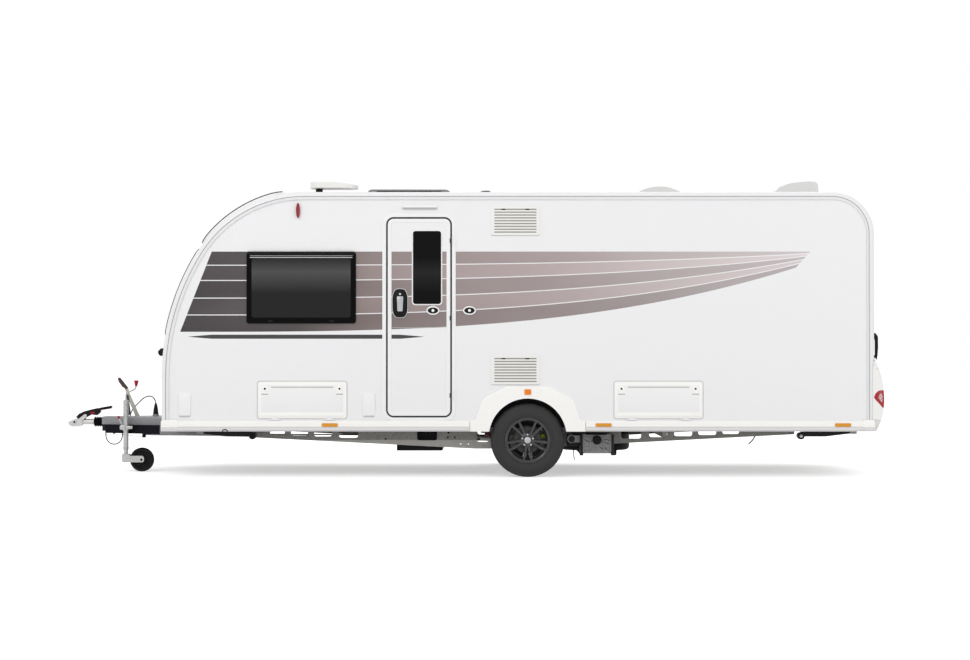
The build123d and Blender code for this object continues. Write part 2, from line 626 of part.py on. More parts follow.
def make_chassis():
    """Two tapered channel rails with lightening slots, and the cross members between them."""
    web = slab(rail_outline(0.0), -RAIL_Y - RAIL_T, -RAIL_Y)
    for x_low, x_high, lift in RAIL_SLOTS:
        floor_z = max(rail_low(x_low), rail_low(x_high)) + lift
        high_z = RAIL_TOP_Z - 10
        web -= slab(rounded((x_low, x_high), (floor_z, high_z), min(22.0, (high_z - floor_z) / 2 - 0.5)),
                    -RAIL_Y - 20, -RAIL_Y + 20)
    rim = rail_outline(0.0) - rail_outline(RAIL_T)
    flange = slab(rim, -RAIL_Y, -RAIL_Y + RAIL_FLANGE)
    rail = web + flange
    tube = Rot(90, 0, 0) * Cylinder(AXLE_TUBE_R + SEAT_GAP, 2 * RAIL_Y + 60)
    tube = Pos(AXLE_X - ARM_LENGTH, 0, AXLE_TUBE_Z) * tube
    rail -= tube
    members = []
    for x in (RAIL_FRONT_X + 40, 60.0, 1800.0, RAIL_END_X - 60):
        low = max(RAIL_TOP_Z - 90, rail_low(x) + RAIL_T + 4)
        member = block((x - 20, x + 20), (-RAIL_Y, RAIL_Y), (low, RAIL_TOP_Z - RAIL_T - 2))
        member -= block((x - 16, x + 16), (-RAIL_Y + 60, RAIL_Y - 60), (low - 1, RAIL_TOP_Z - RAIL_T - 6))
        members.append(member)
    rails = rail.solids() + mirrored(rail).solids()
    return Compound(children=rails), Compound(children=[p for member in members for p in member.solids()])


def make_draw_frame():
    """Drawbar: two channels from the coupling housing back to the rails."""
    reach = RAIL_FRONT_X - DRAW_X
    spread = RAIL_Y - DRAW_HALF - 20
    turn = degrees(asin(spread / sqrt(reach ** 2 + spread ** 2)))
    length = sqrt(reach ** 2 + spread ** 2)
    beam = Pos(length / 2, 0, 0) * Box(length, DRAW_W, DRAW_Z[1] - DRAW_Z[0])
    inside = Pos(length / 2, -DRAW_T, 0) * Box(length + 10, DRAW_W, DRAW_Z[1] - DRAW_Z[0] - 2 * DRAW_T)
    beam -= inside
    middle = (DRAW_Z[0] + DRAW_Z[1]) / 2
    beam = Pos(DRAW_X, DRAW_HALF, middle) * Rot(0, 0, turn) * beam
    heel = block((RAIL_FRONT_X - 46, RAIL_FRONT_X), (RAIL_Y - 70, RAIL_Y + RAIL_T), DRAW_Z)
    beam += heel
    beam -= block((RAIL_FRONT_X, RAIL_FRONT_X + 200), (-900, 900), (300, 500))
    beam -= block((DRAW_X - 200, DRAW_X + 200), (-52, 52), (300, 500))
    near_beam = mirrored(beam)
    clamp_y = (JOCKEY_Y + JOCKEY_TUBE_R + SEAT_GAP, -150)
    near_beam += block((JOCKEY_X - 26, JOCKEY_X + 26), clamp_y, (380, 424))
    return Compound(children=beam.solids() + near_beam.solids())


def make_axle():
    """Axle tube with swing arms, spindles, backing plates and the dampers ahead of it."""
    x = AXLE_X - ARM_LENGTH
    beam = Pos(x, 0, AXLE_TUBE_Z) * Rot(90, 0, 0) * Cylinder(AXLE_TUBE_R, 2 * ARM_Y)
    beam -= Pos(x, 0, AXLE_TUBE_Z) * Rot(90, 0, 0) * Cylinder(AXLE_TUBE_R - 8, 2 * ARM_Y - 120)
    for side in (-1, 1):
        y = sorted((side * (ARM_Y - 22), side * (ARM_Y + 22)))
        arm = make_face(Polyline(
            (x - 40, 270), (x - 40, 345), (x + 20, 360), (AXLE_X + 38, 358), (AXLE_X + 38, 292),
                                 (x + 30, 255), close=True))
        beam += slab(arm, *y)
        spindle = sorted((side * ARM_Y, side * (WHEEL_Y + 12)))
        beam += slab(Pos(AXLE_X, TYRE_R) * Circle(SPINDLE_R), *spindle)
        plate = sorted((side * (ARM_Y + 22), side * (ARM_Y + 30)))
        beam += slab(Pos(AXLE_X, TYRE_R) * Circle(DRUM_R + 6), *plate)
        damper_y = side * (RAIL_Y + RAIL_T + 24)
        beam += rod_between((150, damper_y, 330), (285, damper_y, 322), 20.0)
        beam += rod_between((285, damper_y, 322), (x - 40, damper_y, 318), 9.0)
        eye = sorted((side * (RAIL_Y + RAIL_T), damper_y))
        beam += slab(Pos(168, 329) * Circle(13), *eye)
    return beam


def make_wheel(side):
    """Tyre, alloy rim and brake drum of one wheel, on its Y axis."""
    spot = Pos(AXLE_X, side * WHEEL_Y, TYRE_R)
    half = TYRE_W / 2
    outer = [(RIM_R - 14, 74), (RIM_R + 3, 74), (RIM_R + 10, 83), (256, half), (300, half - 4)]
    outer += [(318, half - 17), (TYRE_R, half - 34)]
    inner = [(TYRE_R - 13, half - 36), (300, half - 22), (256, half - 13), (RIM_R + 8, 66), (RIM_R - 14, 62)]
    ring = outer + [(r, -y) for r, y in reversed(outer)]
    ring += [(r, -y) for r, y in reversed(inner)] + inner
    tyre = revolve(make_face(Polyline(*ring, close=True)), Axis.Y)
    seat = RIM_R - 14 - SEAT_GAP
    well = [(RIM_R, 84), (RIM_R, 75), (seat, 75), (seat, 40), (seat - 16, 28), (seat - 16, -30),
            (seat, -42), (seat, -75), (RIM_R, -75), (RIM_R, -84)]
    back = [(RIM_R - 8, -84), (seat - 6, -76), (seat - 6, -44), (seat - 22, -30), (seat - 22, 28),
            (seat - 6, 42),
            (seat - 6, 76), (RIM_R - 8, 84)]
    barrel = revolve(make_face(Polyline(*(well + back), close=True)), Axis.Y)
    face = (40.0, 62.0)
    hub = slab(Circle(64), face[0] - 12, face[1])
    rim = barrel + hub
    for pair in range(SPOKE_PAIRS):
        turn = 270.0 + pair * 360.0 / SPOKE_PAIRS
        for lean in (-SPOKE_SPREAD, SPOKE_SPREAD):
            start = on_circle((0, 0), 46, turn + lean * 1.3)
            end = on_circle((0, 0), seat - 3, turn + lean)
            run = (end[0] - start[0], end[1] - start[1])
            length = sqrt(run[0] ** 2 + run[1] ** 2)
            side_x = -run[1] / length * SPOKE_W / 2
            side_z = run[0] / length * SPOKE_W / 2
            shape = make_face(Polyline(
                (start[0] + side_x * 1.3, start[1] + side_z * 1.3), (end[0] + side_x, end[1] + side_z),
                (end[0] - side_x, end[1] - side_z),
                (start[0] - side_x * 1.3, start[1] - side_z * 1.3), close=True))
            rim += slab(shape, *face)
    rim += slab(Circle(31), face[1], face[1] + 9)
    rim -= slab(Circle(SPINDLE_R + 6), -100, face[1] - 8)
    for bolt in range(5):
        hole = on_circle((0, 0), 49, 90 + 72 * bolt)
        rim -= slab(Pos(*hole) * Circle(8.5), face[0] - 30, face[1] + 1)
    drum = slab(Circle(DRUM_R), -108, face[0] - 12)
    drum -= slab(Circle(SPINDLE_R + SPINDLE_GAP), -120, 20)
    drum -= slab(Circle(DRUM_R - 12) - Circle(44), -120, 4)
    if side < 0:
        tyre, rim, drum = (mirrored(piece) for piece in (tyre, rim, drum))
    return spot * tyre, spot * rim, spot * drum


def make_coupling():
    """Coupling head with ball socket, cam cheeks and draw tube, the handle over it, and the bellows."""
    outline = make_face(Polyline(
        (COUPLING_TIP_X, 440), (COUPLING_TIP_X + 6, 452), (-3668, 464), (-3634, 476), (-3617, 484),
        (-3598, 472), (-3574, 466), (-3566, 450), (-3574, 418), (-3592, 406), (-3664, 404), (-3688, 416),
        close=True))
    head = slab(outline, -38, 38)
    ridges = head.edges().filter_by(Axis.Y)
    head = chamfer([e for e in ridges if e.center().Z > 450 and e.center().X < -3640], 5.0)
    cam = make_face(Polyline(
        (-3622, 462), (-3600, 480), (-3548, 520), (-3528, 518), (-3528, 499), (-3570, 456), close=True))
    for y in ((-34, -24), (24, 34)):
        head += slab(cam, *y)
    head += rod_between((-3600, 0, 450), (BELLOWS_X[0] + 8, 0, 450), TUBE_R)
    socket = Pos(BALL_X, 0, BALL_Z - 20) * Cylinder(BALL_R + BALL_GAP, 40)
    head -= socket + Pos(BALL_X, 0, BALL_Z) * Sphere(BALL_R + BALL_GAP)
    for y in ((-46, -38), (38, 46)):
        head += slab(Pos(BALL_X, 448) * Circle(20), *y)
    ribs = [(BELLOWS_X[0], TUBE_R + SEAT_GAP)]
    count = 5
    pitch = (BELLOWS_X[1] - BELLOWS_X[0]) / count
    for rib in range(count):
        x = BELLOWS_X[0] + rib * pitch
        ribs += [(x, 36.0), (x + pitch / 2, 49.0)]
    ribs += [(BELLOWS_X[1], 40.0), (BELLOWS_X[1], TUBE_R + SEAT_GAP)]
    profile = make_face(Polyline(*ribs, close=True))
    bellows = Pos(0, 0, 450) * revolve(profile, Axis.X)
    bellows -= block((BELLOWS_X[1] - 0.01, 0), (-200, 200), (0, 900))
    lever = make_face(Polyline(
        (-3631, 494), (-3599, 526), (-3552, 547), (-3496, 562), (-3440, 575), (-3402, 579), (-3302, 594),
        (-3302, 579), (-3398, 566), (-3404, 535), (-3435, 510), (-3486, 517), (-3533, 491), (-3567, 480),
        (-3600, 470), close=True))
    handle = slab(lever, -21, 21)
    handle -= slab(outline, -60, 60)
    handle -= rod_between((-3620, 0, 450), (-3400, 0, 450), TUBE_R + SEAT_GAP)
    return head, handle, bellows


def make_cover():
    """Drawbar cover: shell over the drawbar with a slot for the hand brake lever and the plug's holder."""
    low = DRAW_Z[1]
    rear = FRONT_X
    wide = 66 + (rear - COVER_FRONT_X) * 0.375
    plan = make_face(Polyline(
        (COVER_FRONT_X, -66), (rear, -wide), (rear, wide), (COVER_FRONT_X, 66), close=True))
    cover = upright(plan, low, COVER_TOP_Z)
    edges = [e for e in cover.faces().sort_by(Axis.Z)[-1].edges() if e.center().X < rear - 1]
    cover = fillet(edges, 22.0)
    inner = make_face(Polyline(
        (COVER_FRONT_X + COVER_T, -62), (rear + 1, -wide + COVER_T), (rear + 1, wide - COVER_T),
        (COVER_FRONT_X + COVER_T, 62), close=True))
    hollow = upright(inner, low - 1, COVER_TOP_Z - COVER_T)
    edges = [e for e in hollow.faces().sort_by(Axis.Z)[-1].edges() if e.center().X < rear - 1]
    cover -= fillet(edges, 22.0 - COVER_T)
    cover -= block((-3090, -3000), (-14, 14), (400, 600))
    cover += Pos(PLUG_X, PLUG_Y, COVER_TOP_Z + 9) * Cylinder(30, 18)
    return cover


def make_handbrake():
    """Raised hand brake lever with its grip and gas strut."""
    foot = (-3045.0, 470.0)
    knee = (-3150.0, 708.0)
    tip = (-3163.0, 762.0)
    lever = make_face(Polyline(
        (foot[0] - 20, foot[1]), (knee[0] - 15, knee[1]), (tip[0] - 12, tip[1]), (tip[0] + 14, tip[1] + 8),
        (knee[0] + 17, knee[1] + 6), (foot[0] + 22, foot[1]), close=True))
    bar = slab(lever, -7, 7)
    bar += rod_between((tip[0] + 4, 0, tip[1] - 4), (-3232, 0, 850), 16.0)
    bar += block((foot[0] - 20, foot[0] + 22), (-7, 7), (DRAW_Z[1] - 28, foot[1]))
    strut = rod_between((-3129, -15, 540), (-3152, -15, 700), 9.0)
    bar += strut
    bar += block((-3142, -3120), (-24, -7), (512, 540))
    return bar


def make_jockey():
    """Jockey assembly: clamped outer tube, winder crank, sliding stem with fork, and wheel."""
    spot = Pos(JOCKEY_X, JOCKEY_Y, 0)
    tube = upright(Circle(JOCKEY_TUBE_R), JOCKEY_TUBE_LOW_Z, JOCKEY_TOP_Z)
    tube -= upright(Circle(JOCKEY_STEM_R + RUN_GAP), JOCKEY_TUBE_LOW_Z - 1, 620)
    collar = Pos(0, 0, 402) * Cylinder(36, 44) - Pos(0, 0, 402) * Cylinder(JOCKEY_TUBE_R - 2, 60)
    collar = collar & block((-40, 40), (-40, JOCKEY_TUBE_R), (300, 500))
    tube += collar
    tube += rod_between((-20, -30, 404), (-64, -34, 508), 7.0)
    crank_points = [(0, 0, JOCKEY_TOP_Z), (0, 0, 712), (76, 0, 748), (92, 0, 790)]
    crank = pipe(crank_points, 7.0, [14.0, 18.0])
    crank += rod_between((91, 0, 784), (97, 0, 838), 17.0)
    stem = Pos(0, 0, 372) * Cylinder(JOCKEY_STEM_R, 480)
    stem += Pos(0, 0, 148) * Box(56, 2 * (JOCKEY_WHEEL_W / 2 + 14), 30)
    axle_z = JOCKEY_WHEEL_R
    for side in (-1, 1):
        y = sorted((side * (JOCKEY_WHEEL_W / 2 + 6), side * (JOCKEY_WHEEL_W / 2 + 14)))
        far = JOCKEY_TRAIL + 10
        cheek = make_face(Polyline(
            (-28, 96), (-28, 163), (28, 163), (44, 146), (far, 146), (far + 14, 132), (far + 14, 98),
                                   (far, 86), (-18, 86), close=True))
        stem += slab(cheek, *y)
    room = Rot(90, 0, 0) * Cylinder(JOCKEY_WHEEL_R + 7, JOCKEY_WHEEL_W + 8)
    stem = stem - Pos(JOCKEY_TRAIL, 0, axle_z) * room
    width = JOCKEY_WHEEL_W + 28
    stem += Pos(JOCKEY_TRAIL, 0, axle_z) * Rot(90, 0, 0) * Cylinder(JOCKEY_AXLE_R, width)
    half = JOCKEY_WHEEL_W / 2
    section = [(JOCKEY_AXLE_R + RUN_GAP, half - 4), (40, half - 4), (46, half - 16), (74, half - 16),
               (80, half - 4),
               (100, half - 2), (JOCKEY_WHEEL_R, half - 16)]
    loop = section + [(r, -y) for r, y in reversed(section)]
    wheel = revolve(make_face(Polyline(*loop, close=True)), Axis.Y)
    wheel = Pos(JOCKEY_TRAIL, 0, axle_z) * wheel
    return spot * tube, spot * crank, spot * stem, spot * wheel


def make_steadies():
    """Four corner steady legs and the brackets they hang from."""
    legs = {}
    brackets = []
    for end, x in (("front", STEADY_X[0]), ("rear", STEADY_X[1])):
        toward = 1 if end == "front" else -1
        for side_name, side in (("near", -1), ("off", 1)):
            y = side * STEADY_Y
            spot = Pos(x, y, STEADY_Z)
            if toward < 0:
                spot = spot * Rot(0, 0, 180)
            deep = STEADY_DROP + 6
            half = STEADY_W / 2
            flank = make_face(Polyline(
                (0, 12), (STEADY_LEG, 0), (STEADY_LEG, -deep), (0.52 * STEADY_LEG, -deep), (0, -14),
                close=True))
            room = make_face(Polyline(
                (40, 40), (STEADY_LEG + 9, 40), (STEADY_LEG + 9, 4 - deep), (0.52 * STEADY_LEG, 4 - deep),
                (40, -14), close=True))
            leg = slab(flank, -half, half) - slab(room, 4 - half, half - 4)
            leg += slab(Circle(17), -half, half)
            leg -= slab(Circle(STEADY_PIN_R + RUN_GAP), -60, 60)
            leg += slab(Pos(STEADY_LEG, -STEADY_DROP) * Circle(STEADY_PAD_R), -42, 42)
            legs[end + "_" + side_name] = spot * leg
            bracket = Pos(210, 0, FLOOR_Z - STEADY_Z - 3) * Box(520, 70, 6)
            for ear in (-1, 1):
                bracket += Pos(-10, ear * 27, 10) * Box(60, 10, 56)
            bracket += Rot(90, 0, 0) * Cylinder(STEADY_PIN_R, 64)
            brackets.append(spot * bracket)
    return legs, Compound(children=[p for bracket in brackets for p in bracket.solids()])


def make_movers():
    """Wheel mover units on the rails behind the wheels, each with its drive roller."""
    units = []
    z = (202.0, 372.0)
    case = block((1040.0, 1330.0), (-945.0, -RAIL_Y - RAIL_T), z)
    case = fillet(case.edges().filter_by(Axis.Y), 30.0)
    case += slab(Pos(1185, 322) * Circle(36), -962, -945)
    case += block((985, 1060), (-935, -905), (300, 362))
    case += block((924, 1042), (-905, -RAIL_Y - RAIL_T), (268, 372))
    roller_x = AXLE_X + TYRE_R + 62
    case += slab(Pos(roller_x, 336) * Circle(34), -1080, -905)
    units += [case, mirrored(case)]
    return Compound(children=[p for unit in units for p in unit.solids()])


def make_spare():
    """Spare wheel lying under the floor, with the two cradle bars under it."""
    x = 1215.0
    low = 190.0
    bar_z = low - 8
    tyre = Pos(x, 0, low + 92) * Cylinder(TYRE_R, 178)
    tyre = fillet(tyre.edges(), 34.0)
    tyre -= Pos(x, 0, low + 92) * Cylinder(RIM_R - 14, 200)
    tyre -= Pos(x, 0, low + 92) * Cylinder(TYRE_R - 16, 120)
    tyre += Pos(x, 0, low + 92) * (Cylinder(RIM_R - 14, 150) - Cylinder(RIM_R - 20, 160))
    tyre += Pos(x, 0, low + 110) * (Cylinder(RIM_R - 14, 10) - Cylinder(34, 30))
    for bar_x in (x - 150, x + 150):
        tyre += rod_between((bar_x, -640, bar_z), (bar_x, 640, bar_z), 13.2)
        for side in (-1, 1):
            strap = sorted((side * 600.0, side * 640.0))
            tyre += block((bar_x - 14, bar_x + 14), strap, (bar_z, FLOOR_Z))
    return tyre


def make_tank():
    """Water tank under the floor ahead of the axle."""
    tank = block((-606.0, -191.0), (-640.0, -40.0), (212.0, FLOOR_Z))
    tank = fillet(tank.edges().filter_by(Axis.Z), 40.0)
    inner = block((-600.0, -197.0), (-634.0, -46.0), (218.0, FLOOR_Z - 6))
    return tank - inner


def make_bulkhead():
    """Front locker bulkhead and shelf behind the lid."""
    inner_y = SIDE_Y - SIDE_T
    low = FLOOR_Z + FLOOR_T
    back_x = FRONT_X + 438
    back = block((back_x - 15, back_x), (-inner_y, inner_y), (low, 1140.0))
    shelf = block((FRONT_X, back_x), (-inner_y, inner_y), (1125.0, 1140.0))
    shelf -= skin(-80.0, PANEL_T, SIDE_Y + 50)
    return back + shelf


# Lead from the parked plug into the drawbar cover: X, Y, Z
LEAD_ROUTE = [
    (PLUG_X, PLUG_Y, 624.5), (PLUG_X - 8, PLUG_Y, 658.0), (PLUG_X - 34, 32.0, 684.0),
    (PLUG_X - 74, 36.0, 690.0),
    (PLUG_X - 116, 42.0, 670.0), (PLUG_X - 152, 48.0, 638.0), (PLUG_X - 188, 52.0, 602.0),
    (PLUG_X - 222, 55.0, 564.0), (PLUG_X - 240, 57.0, 526.0), (PLUG_X - 244, 58.0, COVER_TOP_Z + 1),
]
# Lead loop hanging under the drawbar housing
LOOP_ROUTE = [
    (-3352.0, -20.0, 365.7), (-3352.0, -20.0, 318.0), (-3338.0, -20.0, 274.0), (-3304.0, -20.0, 244.0),
    (-3258.0, -20.0, 238.0), (-3218.0, -20.0, 260.0), (-3196.0, -20.0, 302.0), (-3190.0, -20.0, 365.0),
]
# Breakaway wire from the coupling head back to the brake rod's bracket
WIRE_ROUTE = [
    (-3570.5, 0.0, 421.0), (-3560.0, 0.0, 392.0), (-3528.0, 0.0, 364.0), (-3476.0, 0.0, 344.0),
    (-3418.0, 0.0, 334.0), (-3360.0, 0.0, 331.0), (-3302.0, 0.0, 331.5), (-3244.0, 0.0, 330.0),
    (-3186.0, 0.0, 326.5), (-3128.0, 0.0, 321.5), (-3070.0, 0.0, 314.5), (-3013.0, 0.0, 306.0),
]


def bends_for(points, least):
    """Arc radius at each inner point, from its shorter run and turn, printed if it is tight."""
    radii = []
    for before, here, after in zip(points, points[1:], points[2:]):
        first = Vector(*here) - Vector(*before)
        second = Vector(*after) - Vector(*here)
        half = radians(first.get_angle(second)) / 2
        radius = 0.45 * min(first.length, second.length) / max(tan(half), 1e-3)
        radii.append(min(radius, 2000.0))
        if radius < least:
            print("tight bend", here, round(radius, 1))
    return radii


def make_overrun():
    """Overrun housing between the drawbar beams, with the brake rod that runs from it to the axle."""
    gear = block((COVER_FRONT_X, DRAW_X + 200), (-52, 52), (366, DRAW_Z[1]))
    gear += block((DRAW_X + 190, -3000), (-16, 16), (DRAW_Z[1] - 40, DRAW_Z[1] - 28))
    gear += block((-3012, -2982), (-16, 16), (302, DRAW_Z[1] - 28))
    rear_end = AXLE_X - ARM_LENGTH - AXLE_TUBE_R
    gear += rod_between((-3000, 0, 340), (rear_end - 30, 0, 318), 6.0)
    gear += block((rear_end - 40, rear_end + 6), (-60, 60), (290, 340))
    gear -= Pos(AXLE_X - ARM_LENGTH, 0, AXLE_TUBE_Z) * Rot(90, 0, 0) * Cylinder(AXLE_TUBE_R, 400)
    return gear


front, roof, rear, near, off, floor, housing = make_shell()
door_leaf, door_pane, door_handle, door_hole = make_door()
near -= door_hole
front_lid, hole = lid(-1, LOCKER_FRONT_X, LOCKER_Z, LOCKER_CORNER)
near -= hole
rear_lid, hole = lid(-1, LOCKER_REAR_X, LOCKER_Z, LOCKER_CORNER)
near -= hole
cassette, hole = lid(1, CASSETTE_X, LOCKER_Z, LOCKER_CORNER)
off -= hole
panes = []
for side, x_low, x_high, z_low, z_high in SIDE_WINDOWS:
    cut = window_hole(side, (x_low, x_high), (z_low, z_high))
    if side < 0:
        near -= cut
    else:
        off -= cut
    panes.append(window_unit(side, (x_low, x_high), (z_low, z_high)))
gas_lid, hole = make_gas_lid()
front -= hole
front_panes = []
band = skin(-3.0, 20.0, SIDE_Y)
for name, prism, inside in front_openings():
    front -= prism
    front_panes.append(band & inside)
for name, panel in (("near", near), ("off", off), ("front", front)):
    for fixed in HINGE_HALVES[name]:
        panel += fixed
    PARTS["front_panel" if name == "front" else "side_wall_" + name] = panel
PARTS["roof_panel"] = roof
PARTS["rear_panel"] = rear
PARTS["floor_panel"] = floor
PARTS["wheel_housings"] = Compound(children=housing.solids() + mirrored(housing).solids())
PARTS["front_bulkhead"] = make_bulkhead()
PARTS["side_windows"] = Compound(children=[p for pane in panes for p in pane.solids()])
PARTS["front_windows"] = Compound(children=[p for pane in front_panes for p in pane.solids()])
PARTS["door_leaf"] = door_leaf
PARTS["door_window"] = door_pane
PARTS["door_handle"] = door_handle
PARTS["locker_front_near"] = front_lid
PARTS["locker_rear_near"] = rear_lid
PARTS["cassette_door_off"] = cassette
PARTS["gas_locker_lid"] = gas_lid
rail, skirt, arch = make_trim()
PARTS["edge_rails"] = Compound(children=rail.solids() + mirrored(rail).solids())
PARTS["skirts"] = Compound(children=skirt.solids() + mirrored(skirt).solids())
PARTS["arch_mouldings"] = Compound(children=arch.solids() + mirrored(arch).solids())
bumper, tail_lamps = make_bumper()
PARTS["rear_bumper"] = bumper
PARTS["tail_lamps"] = Compound(children=tail_lamps.solids())
PARTS["marker_lamps"] = make_lamps()
PARTS["wall_vents_and_flaps"] = Compound(children=make_vents().solids() + make_flaps().solids())
PARTS["tinted_rooflight"], PARTS["roof_aerial"], PARTS["roof_vents"] = make_roof_pieces()
PARTS["grab_handles"] = make_handles()
PARTS["chassis_rails"], PARTS["cross_members"] = make_chassis()
PARTS["drawbar_beams"] = make_draw_frame()
PARTS["axle_beam"] = make_axle()
PARTS["overrun_gear"] = make_overrun()
for name, side in (("near", -1), ("off", 1)):
    tyre, rim, drum = make_wheel(side)
    PARTS["tyre_" + name] = tyre
    PARTS["rim_" + name] = rim
    PARTS["drum_" + name] = drum
PARTS["coupling_head"], PARTS["coupling_handle"], PARTS["overrun_bellows"] = make_coupling()
PARTS["drawbar_cover"] = make_cover()
PARTS["hand_brake"] = make_handbrake()
PARTS["jockey_tube"], PARTS["jockey_crank"], PARTS["jockey_stem"], PARTS["jockey_wheel"] = make_jockey()
legs, PARTS["steady_brackets"] = make_steadies()
for name, leg in legs.items():
    PARTS["steady_" + name] = leg
PARTS["wheel_movers"] = make_movers()
PARTS["spare_wheel"] = make_spare()
PARTS["water_tank"] = make_tank()
plug = Pos(PLUG_X, PLUG_Y, COVER_TOP_Z + 18 + 26) * Cone(26, 20, 52)
plug += Pos(PLUG_X, PLUG_Y, COVER_TOP_Z + 18 + 78) * Cone(20, 9, 52)
plug -= Pos(PLUG_X, PLUG_Y, 700) * Cylinder(LEAD_R + 0.02, 160)
PARTS["lead_plug"] = plug
PARTS["plug_lead"] = pipe(LEAD_ROUTE, LEAD_R, bends_for(LEAD_ROUTE, 10 * LEAD_R))
PARTS["lead_loop"] = pipe(LOOP_ROUTE, LEAD_R, bends_for(LOOP_ROUTE, 10 * LEAD_R))
PARTS["breakaway_wire"] = pipe(WIRE_ROUTE, WIRE_R, bends_for(WIRE_ROUTE, 10 * WIRE_R))

os.makedirs("parts", exist_ok=True)
for node, shape in PARTS.items():
    export_step(shape, "parts/" + node + ".step")
    box = shape.bounding_box()
    print(node, len(shape.solids()), round(shape.volume / 1e6, 2), [round(v) for v in (*box.min, *box.max)])
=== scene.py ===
"""Looks of a single-axle touring caravan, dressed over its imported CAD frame."""

import logging
import math
from dataclasses import dataclass
from enum import Enum
from typing import Any, Callable, Iterable, Mapping, Sequence

import bmesh
import bpy
from mathutils import Matrix, Vector


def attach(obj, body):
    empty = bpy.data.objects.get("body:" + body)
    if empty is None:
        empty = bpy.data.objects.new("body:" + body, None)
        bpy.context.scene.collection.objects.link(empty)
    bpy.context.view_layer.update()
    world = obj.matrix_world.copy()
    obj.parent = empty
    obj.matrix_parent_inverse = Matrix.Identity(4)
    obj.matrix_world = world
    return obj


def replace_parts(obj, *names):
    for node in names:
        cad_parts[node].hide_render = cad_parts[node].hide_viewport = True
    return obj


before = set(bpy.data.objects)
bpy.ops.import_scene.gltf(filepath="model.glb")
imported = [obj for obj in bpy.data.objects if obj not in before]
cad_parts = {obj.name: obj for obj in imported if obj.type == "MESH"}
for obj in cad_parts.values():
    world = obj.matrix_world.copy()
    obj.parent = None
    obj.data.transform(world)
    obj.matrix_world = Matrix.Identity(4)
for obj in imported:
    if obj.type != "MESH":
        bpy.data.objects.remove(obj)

Point = tuple[float, float, float]
Span = tuple[float, float]
Colour = tuple[float, float, float]
Box = tuple[Span, Span, Span]
Rod = tuple[Point, Point]
Outline = tuple[Span, ...]
Route = tuple[Point, ...]
Stops = tuple[tuple[float, Colour], ...]
ValOperator = Callable[["Val", Any], "Val"]

LOG = logging.getLogger("caravan")
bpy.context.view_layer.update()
SIDE_Y = 1.120
ROOT = "caravan"
UP = (0.0, 0.0, 1.0)
FAR = math.inf
MERGE = 1e-6
CREASE = 0.5
CORNER_STEPS = 8
DISC_SIDES = 48
SHARP_ANGLE = math.radians(34.0)
BLOTCHES = (6.0, 4.0)
COAT_ROUGHNESS = 0.08
GLOSS_SWING = 0.3


def math_operator(operation: str, reflected: bool = False) -> ValOperator:
    """Makes an operator of Val from a Math node.

    Args:
        operation: Blender's name of the operation.
        reflected: whether the plain number stands on the left.

    Returns:
        The method.
    """
    def apply(value: "Val", other: "Val | float") -> "Val":
        """Joins two values, or a value and a plain number."""
        return value.tree.math(operation, *((other, value) if reflected else (value, other)))

    return apply


def operator_pair(operation: str) -> tuple[ValOperator, ValOperator]:
    """The plain and the reflected operator of one operation."""
    return math_operator(operation), math_operator(operation, reflected=True)


class Val:
    """A number socket that takes part in Python expressions; comparisons give 1 or 0."""

    def __init__(self, tree: "Tree", socket: bpy.types.NodeSocket) -> None:
        """Keeps the socket and the tree that it belongs to."""
        self.tree = tree
        self.socket = socket

    __add__, __radd__ = operator_pair("ADD")
    __sub__, __rsub__ = operator_pair("SUBTRACT")
    __mul__, __rmul__ = operator_pair("MULTIPLY")
    __truediv__, __rtruediv__ = operator_pair("DIVIDE")
    __gt__, __lt__ = math_operator("GREATER_THAN"), math_operator("LESS_THAN")
    __or__ = math_operator("MAXIMUM")

    def __abs__(self) -> "Val":
        """Size without sign."""
        return self.tree.math("ABSOLUTE", self)

    def held(self) -> "Val":
        """This value kept between 0 and 1."""
        return Val(self.tree, self.tree.add("ShaderNodeClamp", {}, {"Value": self}).outputs[0])


